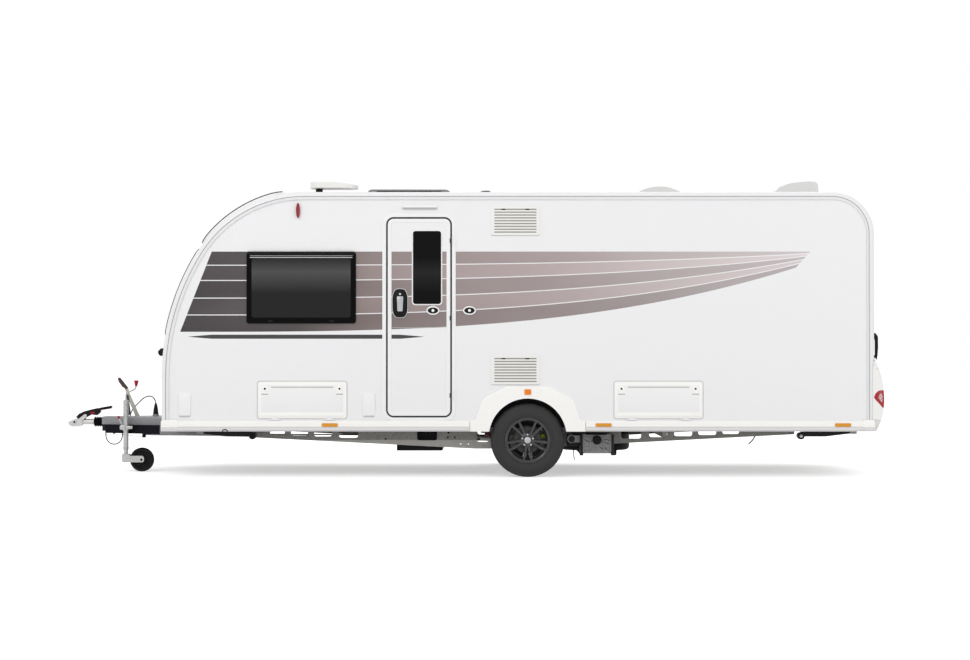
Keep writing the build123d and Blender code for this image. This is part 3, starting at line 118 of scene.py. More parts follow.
class Tree:
    """Node tree of one material, ending in its Principled shader."""

    def __init__(self, name: str) -> None:
        """Makes the material.

        Args:
            name: name of the new material.
        """
        self.material = bpy.data.materials.new(name)
        self.material.use_nodes = True
        nodes = self.material.node_tree.nodes
        self.shader = next(n for n in nodes if n.type == "BSDF_PRINCIPLED")
        self._place: tuple[Val, Val, Val] | None = None

    def add(
        self,
        kind: str,
        settings: Mapping[str, Any] | None = None,
        values: Mapping[Any, Any] | None = None,
    ) -> bpy.types.Node:
        """Adds a node.

        Args:
            kind: the node's type.
            settings: its properties, set first; "stops" fills a ramp with (place, colour) pairs.
            values: numbers or links of its sockets, by name or index.

        Returns:
            The new node.
        """
        node = self.material.node_tree.nodes.new(kind)
        for key, value in (settings or {}).items():
            if key == "stops":
                ramp = node.color_ramp
                while len(ramp.elements) < len(value):
                    ramp.elements.new(0.5)
                for element, (place, colour) in zip(ramp.elements, value):
                    element.position = place
                    element.color = (*colour, 1.0)
            elif key == "interpolation":
                node.color_ramp.interpolation = value
            else:
                setattr(node, key, value)
        for key, value in (values or {}).items():
            self.feed(node.inputs[key], value)
        return node

    def feed(self, socket: bpy.types.NodeSocket, value: Any) -> None:
        """Links or sets one input socket.

        Args:
            socket: the input.
            value: a Val, an output socket, a number or a tuple.
        """
        if isinstance(value, Val):
            value = value.socket
        if isinstance(value, bpy.types.NodeSocket):
            self.material.node_tree.links.new(value, socket)
        elif isinstance(value, tuple) and len(value) == 3 and socket.type == "RGBA":
            socket.default_value = (*value, 1.0)
        else:
            socket.default_value = value

    def math(self, operation: str, *terms: "Val | float") -> Val:
        """Adds a Math node."""
        node = self.add("ShaderNodeMath", {"operation": operation}, dict(enumerate(terms)))
        return Val(self, node.outputs[0])

    def point(self) -> bpy.types.NodeSocket:
        """Object coordinates, which are the shared frame's metres."""
        return self.add("ShaderNodeTexCoord").outputs["Object"]

    def place(self) -> tuple[Val, Val, Val]:
        """X, Y and Z of the point, as numbers."""
        if self._place is None:
            node = self.add("ShaderNodeSeparateXYZ", {}, {0: self.point()})
            self._place = tuple(Val(self, out) for out in node.outputs)
        return self._place

    def noise(self, scale: float, detail: float = 3.0, stretch: Point = (1.0, 1.0, 1.0)) -> Val:
        """Adds a noise texture.

        Args:
            scale: cells in a metre.
            detail: octaves.
            stretch: scale along each axis.

        Returns:
            Values about 0.5.
        """
        spot = self.add("ShaderNodeMapping", {}, {"Vector": self.point(), "Scale": stretch})
        values = {"Vector": spot.outputs[0], "Scale": scale, "Detail": detail}
        node = self.add("ShaderNodeTexNoise", {}, values)
        return Val(self, node.outputs[0])

    def cells(self, scale: float, edge: bool = False) -> Val:
        """Adds a Voronoi texture.

        Args:
            scale: cells in a metre.
            edge: distance to the cells' borders in place of a random value of each cell.

        Returns:
            The chosen value.
        """
        settings = {"feature": "DISTANCE_TO_EDGE"} if edge else {}
        node = self.add("ShaderNodeTexVoronoi", settings, {"Vector": self.point(), "Scale": scale})
        if edge:
            return Val(self, node.outputs["Distance"])
        parts = self.add("ShaderNodeSeparateXYZ", {}, {0: node.outputs["Color"]})
        return Val(self, parts.outputs[0])

    def mix(self, share: "Val | float", first: Any, second: Any) -> bpy.types.NodeSocket:
        """Mixes two colours."""
        node = self.add("ShaderNodeMix", {"data_type": "RGBA"}, {0: share, 6: first, 7: second})
        return node.outputs[2]

    def ramp(self, value: Val, stops: Stops, hard: bool = False) -> bpy.types.NodeSocket:
        """Colour along a value."""
        settings = {"stops": stops, "interpolation": "CONSTANT" if hard else "LINEAR"}
        return self.add("ShaderNodeValToRGB", settings, {0: value}).outputs[0]

    def bump(self, height: Val, depth: float) -> None:
        """Feeds the shader's normal from a height.

        Args:
            height: value of 0 to 1.
            depth: metres from 0 to 1.
        """
        values = {"Height": height, "Distance": depth, "Strength": 1.0}
        node = self.add("ShaderNodeBump", {}, values)
        self.feed(self.shader.inputs["Normal"], node.outputs[0])


@dataclass(frozen=True)
class Weave:
    """Noise that makes up a grain; scales are cells in a metre, paired with octaves."""

    height: Span = (30.0, 2.0)
    depth: float = 0.00002
    gloss: Span = (12.0, 3.0)
    stretch: Point = (1.0, 1.0, 1.0)
    pores: float = 0.0
    spangle: float = 0.0
    ribs: float = 0.0


class Grain(Enum):
    """Texture of a surface."""

    SPRAYED = Weave((9.0, 2.0), 0.00008, (3.0, 4.0))
    MOULDED = Weave(depth=0.00012, gloss=(30.0, 3.0), pores=900.0)
    CAST = Weave((420.0, 5.0), 0.0006, (60.0, 4.0))
    DRAWN = Weave((160.0, 3.0), 0.00008, (40.0, 4.0), stretch=(0.05, 1.0, 1.0))
    SPANGLED = Weave((140.0, 4.0), 0.00025, spangle=85.0)
    RUBBER = Weave((700.0, 4.0), 0.00022, (22.0, 5.0))
    POLISHED = Weave()
    RIBBED = Weave(depth=0.0004, gloss=(30.0, 3.0), ribs=900.0)


@dataclass(frozen=True)
class Finish:
    """A surface finish with its colour, gloss and grain."""

    name: str
    slot: str
    colour: Colour
    roughness: float
    grain: Grain = Grain.MOULDED
    metallic: float = 0.0
    coat: float = 0.0
    uneven: float = 0.05
    shine: float = 0.5

    def tinted(self, tree: Tree) -> Any:
        """Colour of the finish.

        Args:
            tree: tree of the material.

        Returns:
            The colour socket.
        """
        low = tuple(c * (1.0 - self.uneven) for c in self.colour)
        high = tuple(min(1.0, c * (1.0 + self.uneven)) for c in self.colour)
        spangle = self.grain.value.spangle
        share = tree.cells(spangle) if spangle else tree.noise(*BLOTCHES)
        return tree.mix(share, low, high)

    def texture(self, tree: Tree) -> tuple[Val, float, Val]:
        """Grain of the finish.

        Args:
            tree: tree of the material.

        Returns:
            Height, its depth in metres, and a value that varies the roughness.
        """
        weave = self.grain.value
        if weave.ribs:
            x, y, _ = tree.place()
            height = tree.math("SINE", (x + y) * weave.ribs) * 0.5 + 0.5
        elif weave.pores:
            height = tree.cells(weave.pores, edge=True)
        else:
            height = tree.noise(*weave.height, weave.stretch)
        gloss = tree.cells(weave.spangle) if weave.spangle else tree.noise(*weave.gloss)
        return height, weave.depth, gloss

    def material(self) -> bpy.types.Material:
        """The Blender material, made on first use."""
        known = bpy.data.materials.get(self.name)
        if known is not None:
            return known
        tree = Tree(self.name)
        sockets = tree.shader.inputs
        sockets["Metallic"].default_value = self.metallic
        sockets["Coat Weight"].default_value = self.coat
        sockets["Coat Roughness"].default_value = COAT_ROUGHNESS
        sockets["Specular IOR Level"].default_value = self.shine
        tree.feed(sockets["Base Color"], self.tinted(tree))
        height, depth, gloss = self.texture(tree)
        swing = (gloss - 0.5) * GLOSS_SWING * self.roughness
        tree.feed(sockets["Roughness"], swing + self.roughness)
        tree.bump(height, depth)
        return tree.material


@dataclass(frozen=True)
class Zone:
    """Box of the shared frame, bounded by at least one end; open ends take in all."""

    x: Span = (-FAR, FAR)
    y: Span = (-FAR, FAR)
    z: Span = (-FAR, FAR)

    def mask(self, tree: Tree) -> Val:
        """Marks the box.

        Args:
            tree: tree of the material.

        Returns:
            1 inside the box and 0 outside.
        """
        tests = []
        for place, (low, high) in zip(tree.place(), (self.x, self.y, self.z)):
            tests += [place > low] if low > -FAR else []
            tests += [place < high] if high < FAR else []
        inside, *others = tests
        for test in others:
            inside = inside * test
        return inside


@dataclass(frozen=True)
class ZonedFinish(Finish):
    """Finish with other colours in some zones, which may be paint over bare metal."""

    patches: tuple[tuple[Zone, Colour], ...] = ()
    painted: bool = False

    def tinted(self, tree: Tree) -> Any:
        """Colour of the finish with its zones.

        Args:
            tree: tree of the material.

        Returns:
            The colour socket.
        """
        colour = super().tinted(tree)
        metal: Val | float = self.metallic
        for zone, tint in self.patches:
            mask = zone.mask(tree)
            colour = tree.mix(mask, colour, tint)
            if self.painted:
                metal = (1.0 - mask) * metal
                tree.feed(tree.shader.inputs["Metallic"], metal)
        return colour


@dataclass(frozen=True)
class WallPaint(Finish):
    """White wall paint with a fan of tapering stripes, dark at the front and pale at the rear."""

    film: float = 0.0025
    top: float = 1.984
    front: Span = (-2.486, 1.277)
    front_lean: float = 0.392
    tail_lean: float = 0.9
    run: Span = (-2.45, 3.05)
    depth: Span = (0.705, 0.10)
    gap: float = 0.0040
    tones: Stops = (
        (0.0, (0.047, 0.039, 0.043)), (0.17, (0.082, 0.068, 0.069)), (0.30, (0.28, 0.222, 0.212)),
        (0.62, (0.45, 0.37, 0.372)), (1.0, (0.70, 0.635, 0.64)),
    )
    shades: Stops = (
        (0.0, (0.80,) * 3), (0.17, (1.0,) * 3), (0.36, (0.66,) * 3), (0.58, (0.90,) * 3),
        (0.79, (0.55,) * 3),
    )
    shading: float = 0.85
    cloud: tuple[float, float, Point] = (1.6, 3.0, (0.35, 1.0, 1.6))
    cloud_floor: float = 0.35
    cloud_share: Span = (0.6, 0.10)
    haze: Colour = (0.62, 0.555, 0.55)
    pin_x: Span = (-2.42, -0.34)
    pin_z: float = 1.236
    pin_half: float = 0.018
    pin_swell: float = 0.045
    pin_tint: Colour = (0.045, 0.041, 0.043)
    hinge_x: Span = (-0.119, -0.098)
    hinge_room: Span = (0.030, 0.038)
    hinge_out: float = 0.002
    hinge_tint: Colour = (0.030, 0.030, 0.032)

    def stripes(self, tree: Tree) -> tuple[Val, Any]:
        """The fan of stripes.

        Args:
            tree: tree of the material.

        Returns:
            Mask and colour of the stripes.
        """
        x, _, z = tree.place()
        along = ((x - self.run[0]) / (self.run[1] - self.run[0])).held()
        deep = self.depth[0] + along * along * along * (self.depth[1] - self.depth[0])
        across = (self.top - z) / deep
        inside = (across > 0.0) * (across < 1.0)
        inside = inside * (x > (z - self.front[1]) * self.front_lean + self.front[0])
        inside = inside * (x < (z - self.top) * self.tail_lean + self.run[1])
        for place, _ in self.shades[1:]:
            inside = inside * (abs((across - place) * deep) > self.gap)
        tone = tree.ramp(along, self.tones)
        shade = tree.ramp(across, self.shades, hard=True)
        settings = {"data_type": "RGBA", "blend_type": "MULTIPLY"}
        values = {0: self.shading, 6: tone, 7: shade}
        shaded = tree.add("ShaderNodeMix", settings, values).outputs[2]
        cloud = tree.noise(*self.cloud) - self.cloud_floor
        share = along * self.cloud_share[0] + self.cloud_share[1]
        return inside, tree.mix(cloud * share, shaded, self.haze)

    def tinted(self, tree: Tree) -> Any:
        """Paint with the stripes and the pinstripe on the outer face, and dark hinge lines.

        Args:
            tree: tree of the material.

        Returns:
            The colour socket.
        """
        x, y, z = tree.place()
        outside = abs(y) > SIDE_Y - self.film
        base = super().tinted(tree)
        inside, stripe = self.stripes(tree)
        paint = tree.mix(inside * outside, base, stripe)
        taper = (x - self.pin_x[0]) * (self.pin_x[1] - x) * self.pin_swell
        off_line = abs(z - self.pin_z)
        pin = (off_line < taper) * (off_line < self.pin_half)
        paint = tree.mix(pin * outside, paint, self.pin_tint)
        low, high = self.hinge_x
        hinge = (y < -SIDE_Y - self.hinge_out) * (x > low - self.hinge_room[0])
        hinge = hinge * (x < high + self.hinge_room[1])
        paint = tree.mix(hinge, paint, base)
        return tree.mix(hinge * (x > low) * (x < high), paint, self.hinge_tint)


@dataclass(frozen=True)
class PaneWithPaintedReflection(Finish):
    """Tinted pane with a painted reflection, greyer in its upper part and dark again at the top."""

    change: Span = (1.62, 1.80)
    fade: Span = (1.81, 1.93)
    # pale is the colour of the painted reflection in the upper part.
    pale: Colour = (0.064, 0.064, 0.066)

    def tinted(self, tree: Tree) -> Any:
        """Tint by height, with the painted reflection as the greyer band.

        Args:
            tree: tree of the material.

        Returns:
            The colour socket.
        """
        _, _, z = tree.place()
        rise = ((z - self.change[0]) / (self.change[1] - self.change[0])).held()
        fall = ((self.fade[1] - z) / (self.fade[1] - self.fade[0])).held()
        return tree.mix(rise * fall, self.colour, self.pale)


SHELL = Finish(
    "shell_paint", "shell_white", (0.83, 0.83, 0.835), 0.34, Grain.SPRAYED, uneven=0.010, shine=0.4,
)
WALL = WallPaint(
    "wall_paint", "shell_white", (0.81, 0.81, 0.82), 0.36, Grain.SPRAYED, uneven=0.010, shine=0.4,
)
WHITE = Finish(
    "white_moulding", "white_plastic", (0.90, 0.89, 0.865), 0.36, uneven=0.012, shine=0.4,
)
SKIRT = ZonedFinish(
    "skirt_plastic", "white_plastic", (0.90, 0.89, 0.865), 0.36, uneven=0.012, shine=0.4,
    patches=(
        # The darker band below z 0.4435 is painted shade, where the skirt's lower edge turns under.
        (Zone(z=(-FAR, 0.4435)), (0.70, 0.692, 0.69)),
    ),
)
BUMPER = ZonedFinish(
    "bumper_plastic", "white_plastic", (0.83, 0.822, 0.805), 0.36, uneven=0.012, shine=0.4,
    patches=(
        (Zone(z=(-FAR, 0.506)), (0.68, 0.672, 0.668)),
    ),
)
CREAM = Finish("vent_plastic", "white_plastic", (0.82, 0.812, 0.785), 0.42, uneven=0.02)
MESH_AND_SHADE_GREY = Finish("fly_mesh_and_shade", "grey_plastic", (0.36, 0.345, 0.32), 0.7, Grain.CAST, uneven=0.1)
BLACK = Finish(
    "black_moulding", "black_plastic", (0.007, 0.007, 0.0075), 0.40, uneven=0.12, shine=0.12,
)
GASKET = Finish(
    "gasket_rubber", "rubber_black", (0.030, 0.030, 0.032), 0.62, Grain.RUBBER, uneven=0.1,
    shine=0.25,
)
SEAM = Finish("seam_shadow", "grey_plastic", (0.50, 0.50, 0.51), 0.6)
GREY = Finish("grey_moulding_and_shade", "grey_plastic", (0.27, 0.27, 0.285), 0.40, uneven=0.06, shine=0.3)
RAIL_AND_HIGHLIGHT = Finish(
    "satin_rail_and_highlight", "rail_aluminium", (0.60, 0.60, 0.61), 0.42, Grain.DRAWN, metallic=0.35,
    uneven=0.04,
)
TINT = Finish(
    "tinted_pane", "tinted_acrylic", (0.003, 0.003, 0.0035), 0.08, Grain.POLISHED, uneven=0.1,
    shine=0.05,
)
# Both panes below carry a painted reflection as a greyer upper band.
GRADED = PaneWithPaintedReflection(
    "graded_pane", "tinted_acrylic", (0.009, 0.009, 0.0095), 0.07, Grain.POLISHED, uneven=0.1,
    shine=0.2,
)
DOOR_GLASS = PaneWithPaintedReflection(
    "door_pane", "tinted_acrylic", (0.003, 0.003, 0.0033), 0.07, Grain.POLISHED, uneven=0.1,
    shine=0.08, pale=(0.016, 0.016, 0.0165),
)
SMOKE = Finish(
    "smoked_dome", "tinted_acrylic", (0.19, 0.19, 0.195), 0.18, Grain.POLISHED, uneven=0.1,
)
RED_LENS = Finish(
    "red_lens", "lamp_red", (0.37, 0.004, 0.010), 0.16, Grain.POLISHED, coat=0.3, uneven=0.1,
    shine=0.3,
)
MARKERS = ZonedFinish(
    "marker_lens", "lamp_amber", (0.66, 0.27, 0.003), 0.20, Grain.RIBBED, coat=0.3, uneven=0.0,
    shine=0.3,
    patches=(
        (Zone(z=(0.60, FAR)), (0.80, 0.20, 0.002)),
        (Zone(x=(-FAR, -1.2), z=(2.25, FAR)), (0.26, 0.018, 0.028)),
        (Zone(x=(-0.8, FAR), z=(2.30, FAR)), (0.86, 0.86, 0.85)),
        # The grey lower part of the lamp over the door is painted shade.
        (Zone(x=(-0.8, FAR), z=(2.30, 2.371)), (0.42, 0.42, 0.43)),
    ),
)
GALVANISED = Finish(
    "galvanised_steel", "galvanised", (0.325, 0.317, 0.297), 0.55, Grain.SPANGLED, metallic=0.35,
    uneven=0.18, shine=0.35,
)
CHASSIS = ZonedFinish(
    "rail_steel", "galvanised", (0.237, 0.231, 0.217), 0.55, Grain.SPANGLED, metallic=0.35,
    uneven=0.18, shine=0.35,
    patches=(
        (Zone(x=(-FAR, 0.6), z=(-FAR, 0.314)), (0.426, 0.415, 0.389)),
    ),
)
DARK_STEEL = Finish(
    "dark_steel", "black_steel", (0.015, 0.015, 0.016), 0.45, Grain.CAST, uneven=0.15, shine=0.14,
)
ZINC = Finish(
    "zinc_plate", "zinc_steel", (0.45, 0.45, 0.445), 0.36, Grain.SPANGLED, metallic=0.75,
    uneven=0.10,
)
LEVER = ZonedFinish(
    "lever_zinc", "zinc_steel", (0.42, 0.413, 0.358), 0.38, Grain.SPANGLED, metallic=0.6,
    uneven=0.08, painted=True,
    patches=(
        (Zone(z=(0.764, FAR)), (0.022, 0.020, 0.022)),
        (Zone(y=(-FAR, -0.0076)), (0.022, 0.020, 0.022)),
    ),
)
CASTING = Finish(
    "cast_casing", "cast_grey", (0.225, 0.225, 0.23), 0.55, Grain.CAST, metallic=0.2, uneven=0.12,
)
ALLOY = Finish(
    "dark_alloy", "alloy_dark", (0.030, 0.030, 0.032), 0.26, Grain.POLISHED, metallic=0.5,
    coat=0.35, uneven=0.1,
)
SATIN = Finish("satin_metal", "zinc_steel", (0.41, 0.41, 0.43), 0.36, Grain.DRAWN, metallic=0.8)
BRIGHT = Finish("bright_metal", "zinc_steel", (0.66, 0.66, 0.68), 0.25, Grain.DRAWN, metallic=0.9)
IRON = Finish(
    "cast_drum", "drum_iron", (0.030, 0.029, 0.028), 0.60, Grain.CAST, metallic=0.3, uneven=0.25,
)
TYRE = Finish(
    "tyre_rubber", "tyre", (0.030, 0.0292, 0.0295), 0.60, Grain.RUBBER, uneven=0.15, shine=0.24,
)
RUBBER = Finish(
    "black_rubber", "rubber_black", (0.007, 0.0068, 0.0075), 0.55, Grain.RUBBER, uneven=0.15,
    shine=0.14,
)
LEAD = Finish(
    "lead_sheath", "lead_black", (0.022, 0.022, 0.024), 0.48, Grain.RUBBER, uneven=0.1, shine=0.25,
)
WIRE = Finish("wire_rope", "wire_steel", (0.54, 0.535, 0.53), 0.40, Grain.DRAWN, metallic=0.6)
RED = Finish("red_moulding", "lamp_red", (0.33, 0.009, 0.020), 0.38, uneven=0.06, shine=0.2)
MAROON = Finish("maroon_bush", "lamp_red", (0.085, 0.010, 0.020), 0.5, Grain.RUBBER, uneven=0.1)
LIME = Finish("lime_plug", "lamp_amber", (0.62, 0.70, 0.035), 0.45)
BOARD = Finish("ply_floor", "floor_board", (0.10, 0.085, 0.07), 0.7, Grain.CAST, uneven=0.15)
LINING = Finish("board_lining", "inner_board", (0.42, 0.36, 0.29), 0.5, Grain.DRAWN, uneven=0.12)
ROOF_WHITE = ZonedFinish(
    "roof_plastic", "white_plastic", (0.67, 0.665, 0.66), 0.36, uneven=0.02,
    patches=(
        (Zone(x=(0.13, 0.27)), (0.06, 0.06, 0.062)),
    ),
)
TRIM = Finish("white_rail", "rail_aluminium", (0.74, 0.74, 0.75), 0.36, Grain.DRAWN, uneven=0.03)
CLEAR = Finish(
    "clear_lens", "lamp_red", (0.56, 0.47, 0.48), 0.12, Grain.POLISHED, coat=0.4, uneven=0.08,
)
PLATE = Finish("blank_plate", "white_plastic", (0.80, 0.62, 0.10), 0.3, uneven=0.02)
FRAME = ZonedFinish(
    "frame_steel", "black_steel", (0.0048, 0.0052, 0.0080), 0.42, Grain.CAST, uneven=0.12,
    shine=0.07,
    patches=(
        (Zone(x=(-2.79, FAR)), (0.24, 0.24, 0.245)),
    ),
)

NODE_FINISHES: dict[Finish, tuple[str, ...]] = {
    WALL: ("side_wall_near", "side_wall_off", "door_leaf"),
    SHELL: (
        "front_panel", "roof_panel", "rear_panel", "gas_locker_lid", "locker_front_near",
        "locker_rear_near", "cassette_door_off",
    ),
    WHITE: ("arch_mouldings",),
    BUMPER: ("rear_bumper",),
    SKIRT: ("skirts",),
    CREAM: ("wall_vents_and_flaps", "roof_aerial"),
    ROOF_WHITE: ("roof_vents",),
    TINT: ("side_windows", "front_windows"),
    DOOR_GLASS: ("door_window",),
    SMOKE: ("tinted_rooflight",),
    BLACK: ("wheel_housings", "coupling_handle", "grab_handles", "water_tank", "lead_plug"),
    TRIM: ("edge_rails",),
    RED_LENS: ("tail_lamps",),
    MARKERS: ("marker_lamps",),
    CHASSIS: ("chassis_rails",),
    GALVANISED: ("cross_members", "axle_beam", "steady_brackets"),
    DARK_STEEL: (
        "overrun_gear", "steady_front_near", "steady_front_off", "steady_rear_near",
        "steady_rear_off",
    ),
    FRAME: ("drawbar_beams",),
    WIRE: ("coupling_head",),
    ZINC: ("jockey_tube", "jockey_stem"),
    LEVER: ("hand_brake",),
    CASTING: ("wheel_movers",),
    IRON: ("drum_near", "drum_off"),
    RUBBER: ("overrun_bellows", "jockey_wheel", "spare_wheel"),
    GREY: ("drawbar_cover",),
    BOARD: ("floor_panel",),
    LINING: ("front_bulkhead",),
}


class Side(Enum):
    """Outer faces of the cabin, each as its across, up and outward directions."""

    NEAR = ((1, 0, 0), (0, 0, 1), (0, -1, 0))
    OFF = ((1, 0, 0), (0, 0, 1), (0, 1, 0))
    FRONT = ((0, 1, 0), (0, 0, 1), (-1, 0, 0))
    REAR = ((0, 1, 0), (0, 0, 1), (1, 0, 0))
    TOP = ((1, 0, 0), (0, 1, 0), (0, 0, 1))

    def spot(self, across: float, up: float, out: float) -> Vector:
        """Point of the shared frame."""
        first, second, third = (Vector(way) for way in self.value)
        return first * across + second * up + third * out


class Shape:
    """A mesh under construction in the shared frame."""

    def __init__(self) -> None:
        """Starts empty."""
        self.bm = bmesh.new()

    def soften(self, verts: Iterable[bmesh.types.BMVert], offset: float, segments: int = 2) -> None:
        """Bevels the sharp edges among some vertices.

        Args:
            verts: the vertices.
            offset: width of the bevel.
            segments: its steps.
        """
        known = set(verts)
        edges = {e for v in known for e in v.link_edges if e.other_vert(v) in known}
        sharp = [e for e in edges if e.calc_face_angle(0.0) > CREASE]
        bmesh.ops.bevel(
            self.bm, geom=sharp, offset=offset, offset_type="OFFSET", segments=segments,
            profile=0.5, affect="EDGES", material=-1, clamp_overlap=True)

    def block(self, x: Span, y: Span, z: Span, edge: float = 0.0, segments: int = 2) -> "Shape":
        """Adds a box.

        Args:
            x: its span along X.
            y: its span along Y.
            z: its span along Z.
            edge: bevel of its edges.
            segments: steps of the bevel.

        Returns:
            This shape.
        """
        spans = (x, y, z)
        middle = Vector([(low + high) / 2 for low, high in spans])
        size = [high - low for low, high in spans]
        matrix = Matrix.Translation(middle) @ Matrix.Diagonal((*size, 1.0))
        verts = bmesh.ops.create_cube(self.bm, size=1.0, matrix=matrix)["verts"]
        if edge:
            self.soften(verts, edge, segments)
        return self

    def fresh(self, old: set[bmesh.types.BMFace]) -> list[bmesh.types.BMFace]:
        """Faces made since a moment."""
        return [f for f in self.bm.faces if f not in old]

    def rod(
        self, start: Point, end: Point, radius: float, tip: float | None = None, sides: int = 32,
        edge: float = 0.0,
    ) -> "Shape":
        """Adds a round bar or cone.

        Args:
            start: middle of its first end.
            end: middle of its last end.
            radius: radius at the first end.
            tip: radius at the last end, if another.
            sides: facets round it.
            edge: bevel of its rims.

        Returns:
            This shape.
        """
        first, last = Vector(start), Vector(end)
        way = last - first
        turn = way.to_track_quat("Z", "Y").to_matrix().to_4x4()
        verts = bmesh.ops.create_cone(
            self.bm, cap_ends=True, cap_tris=False, segments=sides, radius1=radius,
            radius2=radius if tip is None else tip, depth=way.length,
            matrix=Matrix.Translation((first + last) / 2) @ turn)["verts"]
        if edge:
            self.soften(verts, edge)
        return self

    def pin(
        self, spot: Span, out: Span, radius: float, tip: float | None = None, sides: int = 6,
        edge: float = 0.0,
    ) -> "Shape":
        """Adds a bar or cone that points outward from the near side."""
        (x, z), (low, high) = spot, out
        return self.rod((x, -low, z), (x, -high, z), radius, tip, sides, edge)

    def lathe(
        self, profile: Sequence[Span], centre: Point, axis: Point, closed: bool = False,
        steps: int = 64,
    ) -> "Shape":
        """Spins a profile about an axis.

        Args:
            profile: (radius, along) points.
            centre: where along is 0.
            axis: direction of along.
            closed: whether the profile is a ring.
            steps: facets round the axis.

        Returns:
            This shape.
        """
        way = Vector(axis).normalized()
        out = way.orthogonal().normalized()
        old = set(self.bm.faces)
        middle = Vector(centre)
        verts = [self.bm.verts.new(middle + way * along + out * radius)
                 for radius, along in profile]
        pairs = list(zip(verts, verts[1:])) + ([(verts[-1], verts[0])] if closed else [])
        edges = [self.bm.edges.new(pair) for pair in pairs]
        bmesh.ops.spin(self.bm, geom=verts + edges, cent=centre, axis=way, angle=math.tau,
                       steps=steps, use_merge=True)
        seams = list({v for f in self.fresh(old) for v in f.verts})
        bmesh.ops.remove_doubles(self.bm, verts=seams, dist=MERGE)
        bmesh.ops.recalc_face_normals(self.bm, faces=self.fresh(old))
        return self

    def sheet(
        self, side: Side, outline: Sequence[Span], out: Span, corner: float = 0.0,
        edge: float = 0.0, rim: float = 0.0,
    ) -> "Shape":
        """Adds a plate or ring of any outline on one side of the cabin.

        Args:
            side: the face that it lies on.
            outline: (across, up) corners in order.
            out: its span outward.
            corner: radius of its corners.
            edge: bevel of its outer edges.
            rim: width of the ring, or 0 for a full plate.

        Returns:
            This shape.
        """
        old = set(self.bm.faces)
        verts = [self.bm.verts.new(side.spot(a, b, out[0])) for a, b in outline]
        self.bm.faces.new(verts)
        if corner:
            bmesh.ops.bevel(
                self.bm, geom=verts, offset=corner, offset_type="OFFSET", segments=CORNER_STEPS,
                profile=0.5, affect="VERTICES", material=-1, clamp_overlap=True)
        faces = self.fresh(old)
        if rim:
            bmesh.ops.inset_region(
                self.bm, faces=faces, thickness=rim, use_even_offset=True, use_boundary=True)
            bmesh.ops.delete(self.bm, geom=faces, context="FACES")
            faces = self.fresh(old)
        pushed = bmesh.ops.extrude_face_region(self.bm, geom=faces)["geom"]
        moved = [g for g in pushed if isinstance(g, bmesh.types.BMVert)]
        bmesh.ops.translate(self.bm, verts=moved, vec=side.spot(0, 0, out[1] - out[0]))
        bmesh.ops.recalc_face_normals(self.bm, faces=self.fresh(old))
        if edge:
            self.soften(moved, edge)
        return self

    def plate(
        self, side: Side, across: Span, up: Span, out: Span, corner: float = 0.0,
        edge: float = 0.0, rim: float = 0.0,
    ) -> "Shape":
        """Adds a rectangular plate or ring on one side of the cabin.

        Args:
            side: the face that it lies on.
            across: its span along the face.
            up: its span up the face.
            out: its span outward.
            corner: radius of its corners.
            edge: bevel of its outer edges.
            rim: width of the ring, or 0 for a full plate.

        Returns:
            This shape.
        """
        (left, right), (low, high) = across, up
        corners = [(left, low), (right, low), (right, high), (left, high)]
        return self.sheet(side, corners, out, corner, edge, rim)

    def oval(self, side: Side, spot: Span, half: Span, out: Span, edge: float = 0.0) -> "Shape":
        """Adds an oval disc on one side of the cabin.

        Args:
            side: the face that it lies on.
            spot: its middle, across and up.
            half: its half sizes.
            out: its span outward.
            edge: bevel of its rims.

        Returns:
            This shape.
        """
        old = set(self.bm.faces)
        ways = [Vector(way) for way in side.value]
        middle = side.spot(spot[0], spot[1], (out[0] + out[1]) / 2)
        columns = [ways[0] * half[0], ways[1] * half[1], ways[2] * (out[1] - out[0])]
        matrix = Matrix.Translation(middle) @ Matrix(columns).transposed().to_4x4()
        verts = bmesh.ops.create_cone(
            self.bm, cap_ends=True, cap_tris=False, segments=DISC_SIDES, radius1=1.0, radius2=1.0,
            depth=1.0, matrix=matrix)["verts"]
        bmesh.ops.recalc_face_normals(self.bm, faces=self.fresh(old))
        if edge:
            self.soften(verts, edge)
        return self

    def disc(
        self, side: Side, spot: Span, radius: float, out: Span, edge: float = 0.0
    ) -> "Shape":
        """Adds a round disc on one side of the cabin."""
        return self.oval(side, spot, (radius, radius), out, edge)

    def turn(
        self, verts: Iterable[bmesh.types.BMVert], angle: float, axis: str, centre: Point
    ) -> None:
        """Turns some vertices."""
        matrix = Matrix.Rotation(math.radians(angle), 3, axis)
        bmesh.ops.rotate(self.bm, verts=list(verts), cent=centre, matrix=matrix)

    def both_sides(self) -> "Shape":
        """Adds the mirror image on the other side of the caravan."""
        geom = [*self.bm.verts, *self.bm.edges, *self.bm.faces]
        copied = bmesh.ops.duplicate(self.bm, geom=geom)["geom"]
        verts = [g for g in copied if isinstance(g, bmesh.types.BMVert)]
        faces = [g for g in copied if isinstance(g, bmesh.types.BMFace)]
        bmesh.ops.scale(self.bm, vec=(1.0, -1.0, 1.0), verts=verts)
        bmesh.ops.reverse_faces(self.bm, faces=faces)
        return self

    def piece(self, name: str, finish: Finish, body: str = ROOT) -> bpy.types.Object:
        """Ends the shape as an object that rides on a body.

        Args:
            name: the object's name.
            finish: its finish.
            body: the body that carries it.

        Returns:
            The object.
        """
        mesh = bpy.data.meshes.new(name)
        self.bm.to_mesh(mesh)
        self.bm.free()
        return settle(place_mesh(name, mesh), finish, body)


def linked(name: str, data: bpy.types.ID) -> bpy.types.Object:
    """Puts data into the scene as an object.

    Args:
        name: the object's name.
        data: mesh, curve, lamp or camera.

    Returns:
        The object.
    """
    made = bpy.data.objects.new(name, data)
    bpy.context.scene.collection.objects.link(made)
    return made


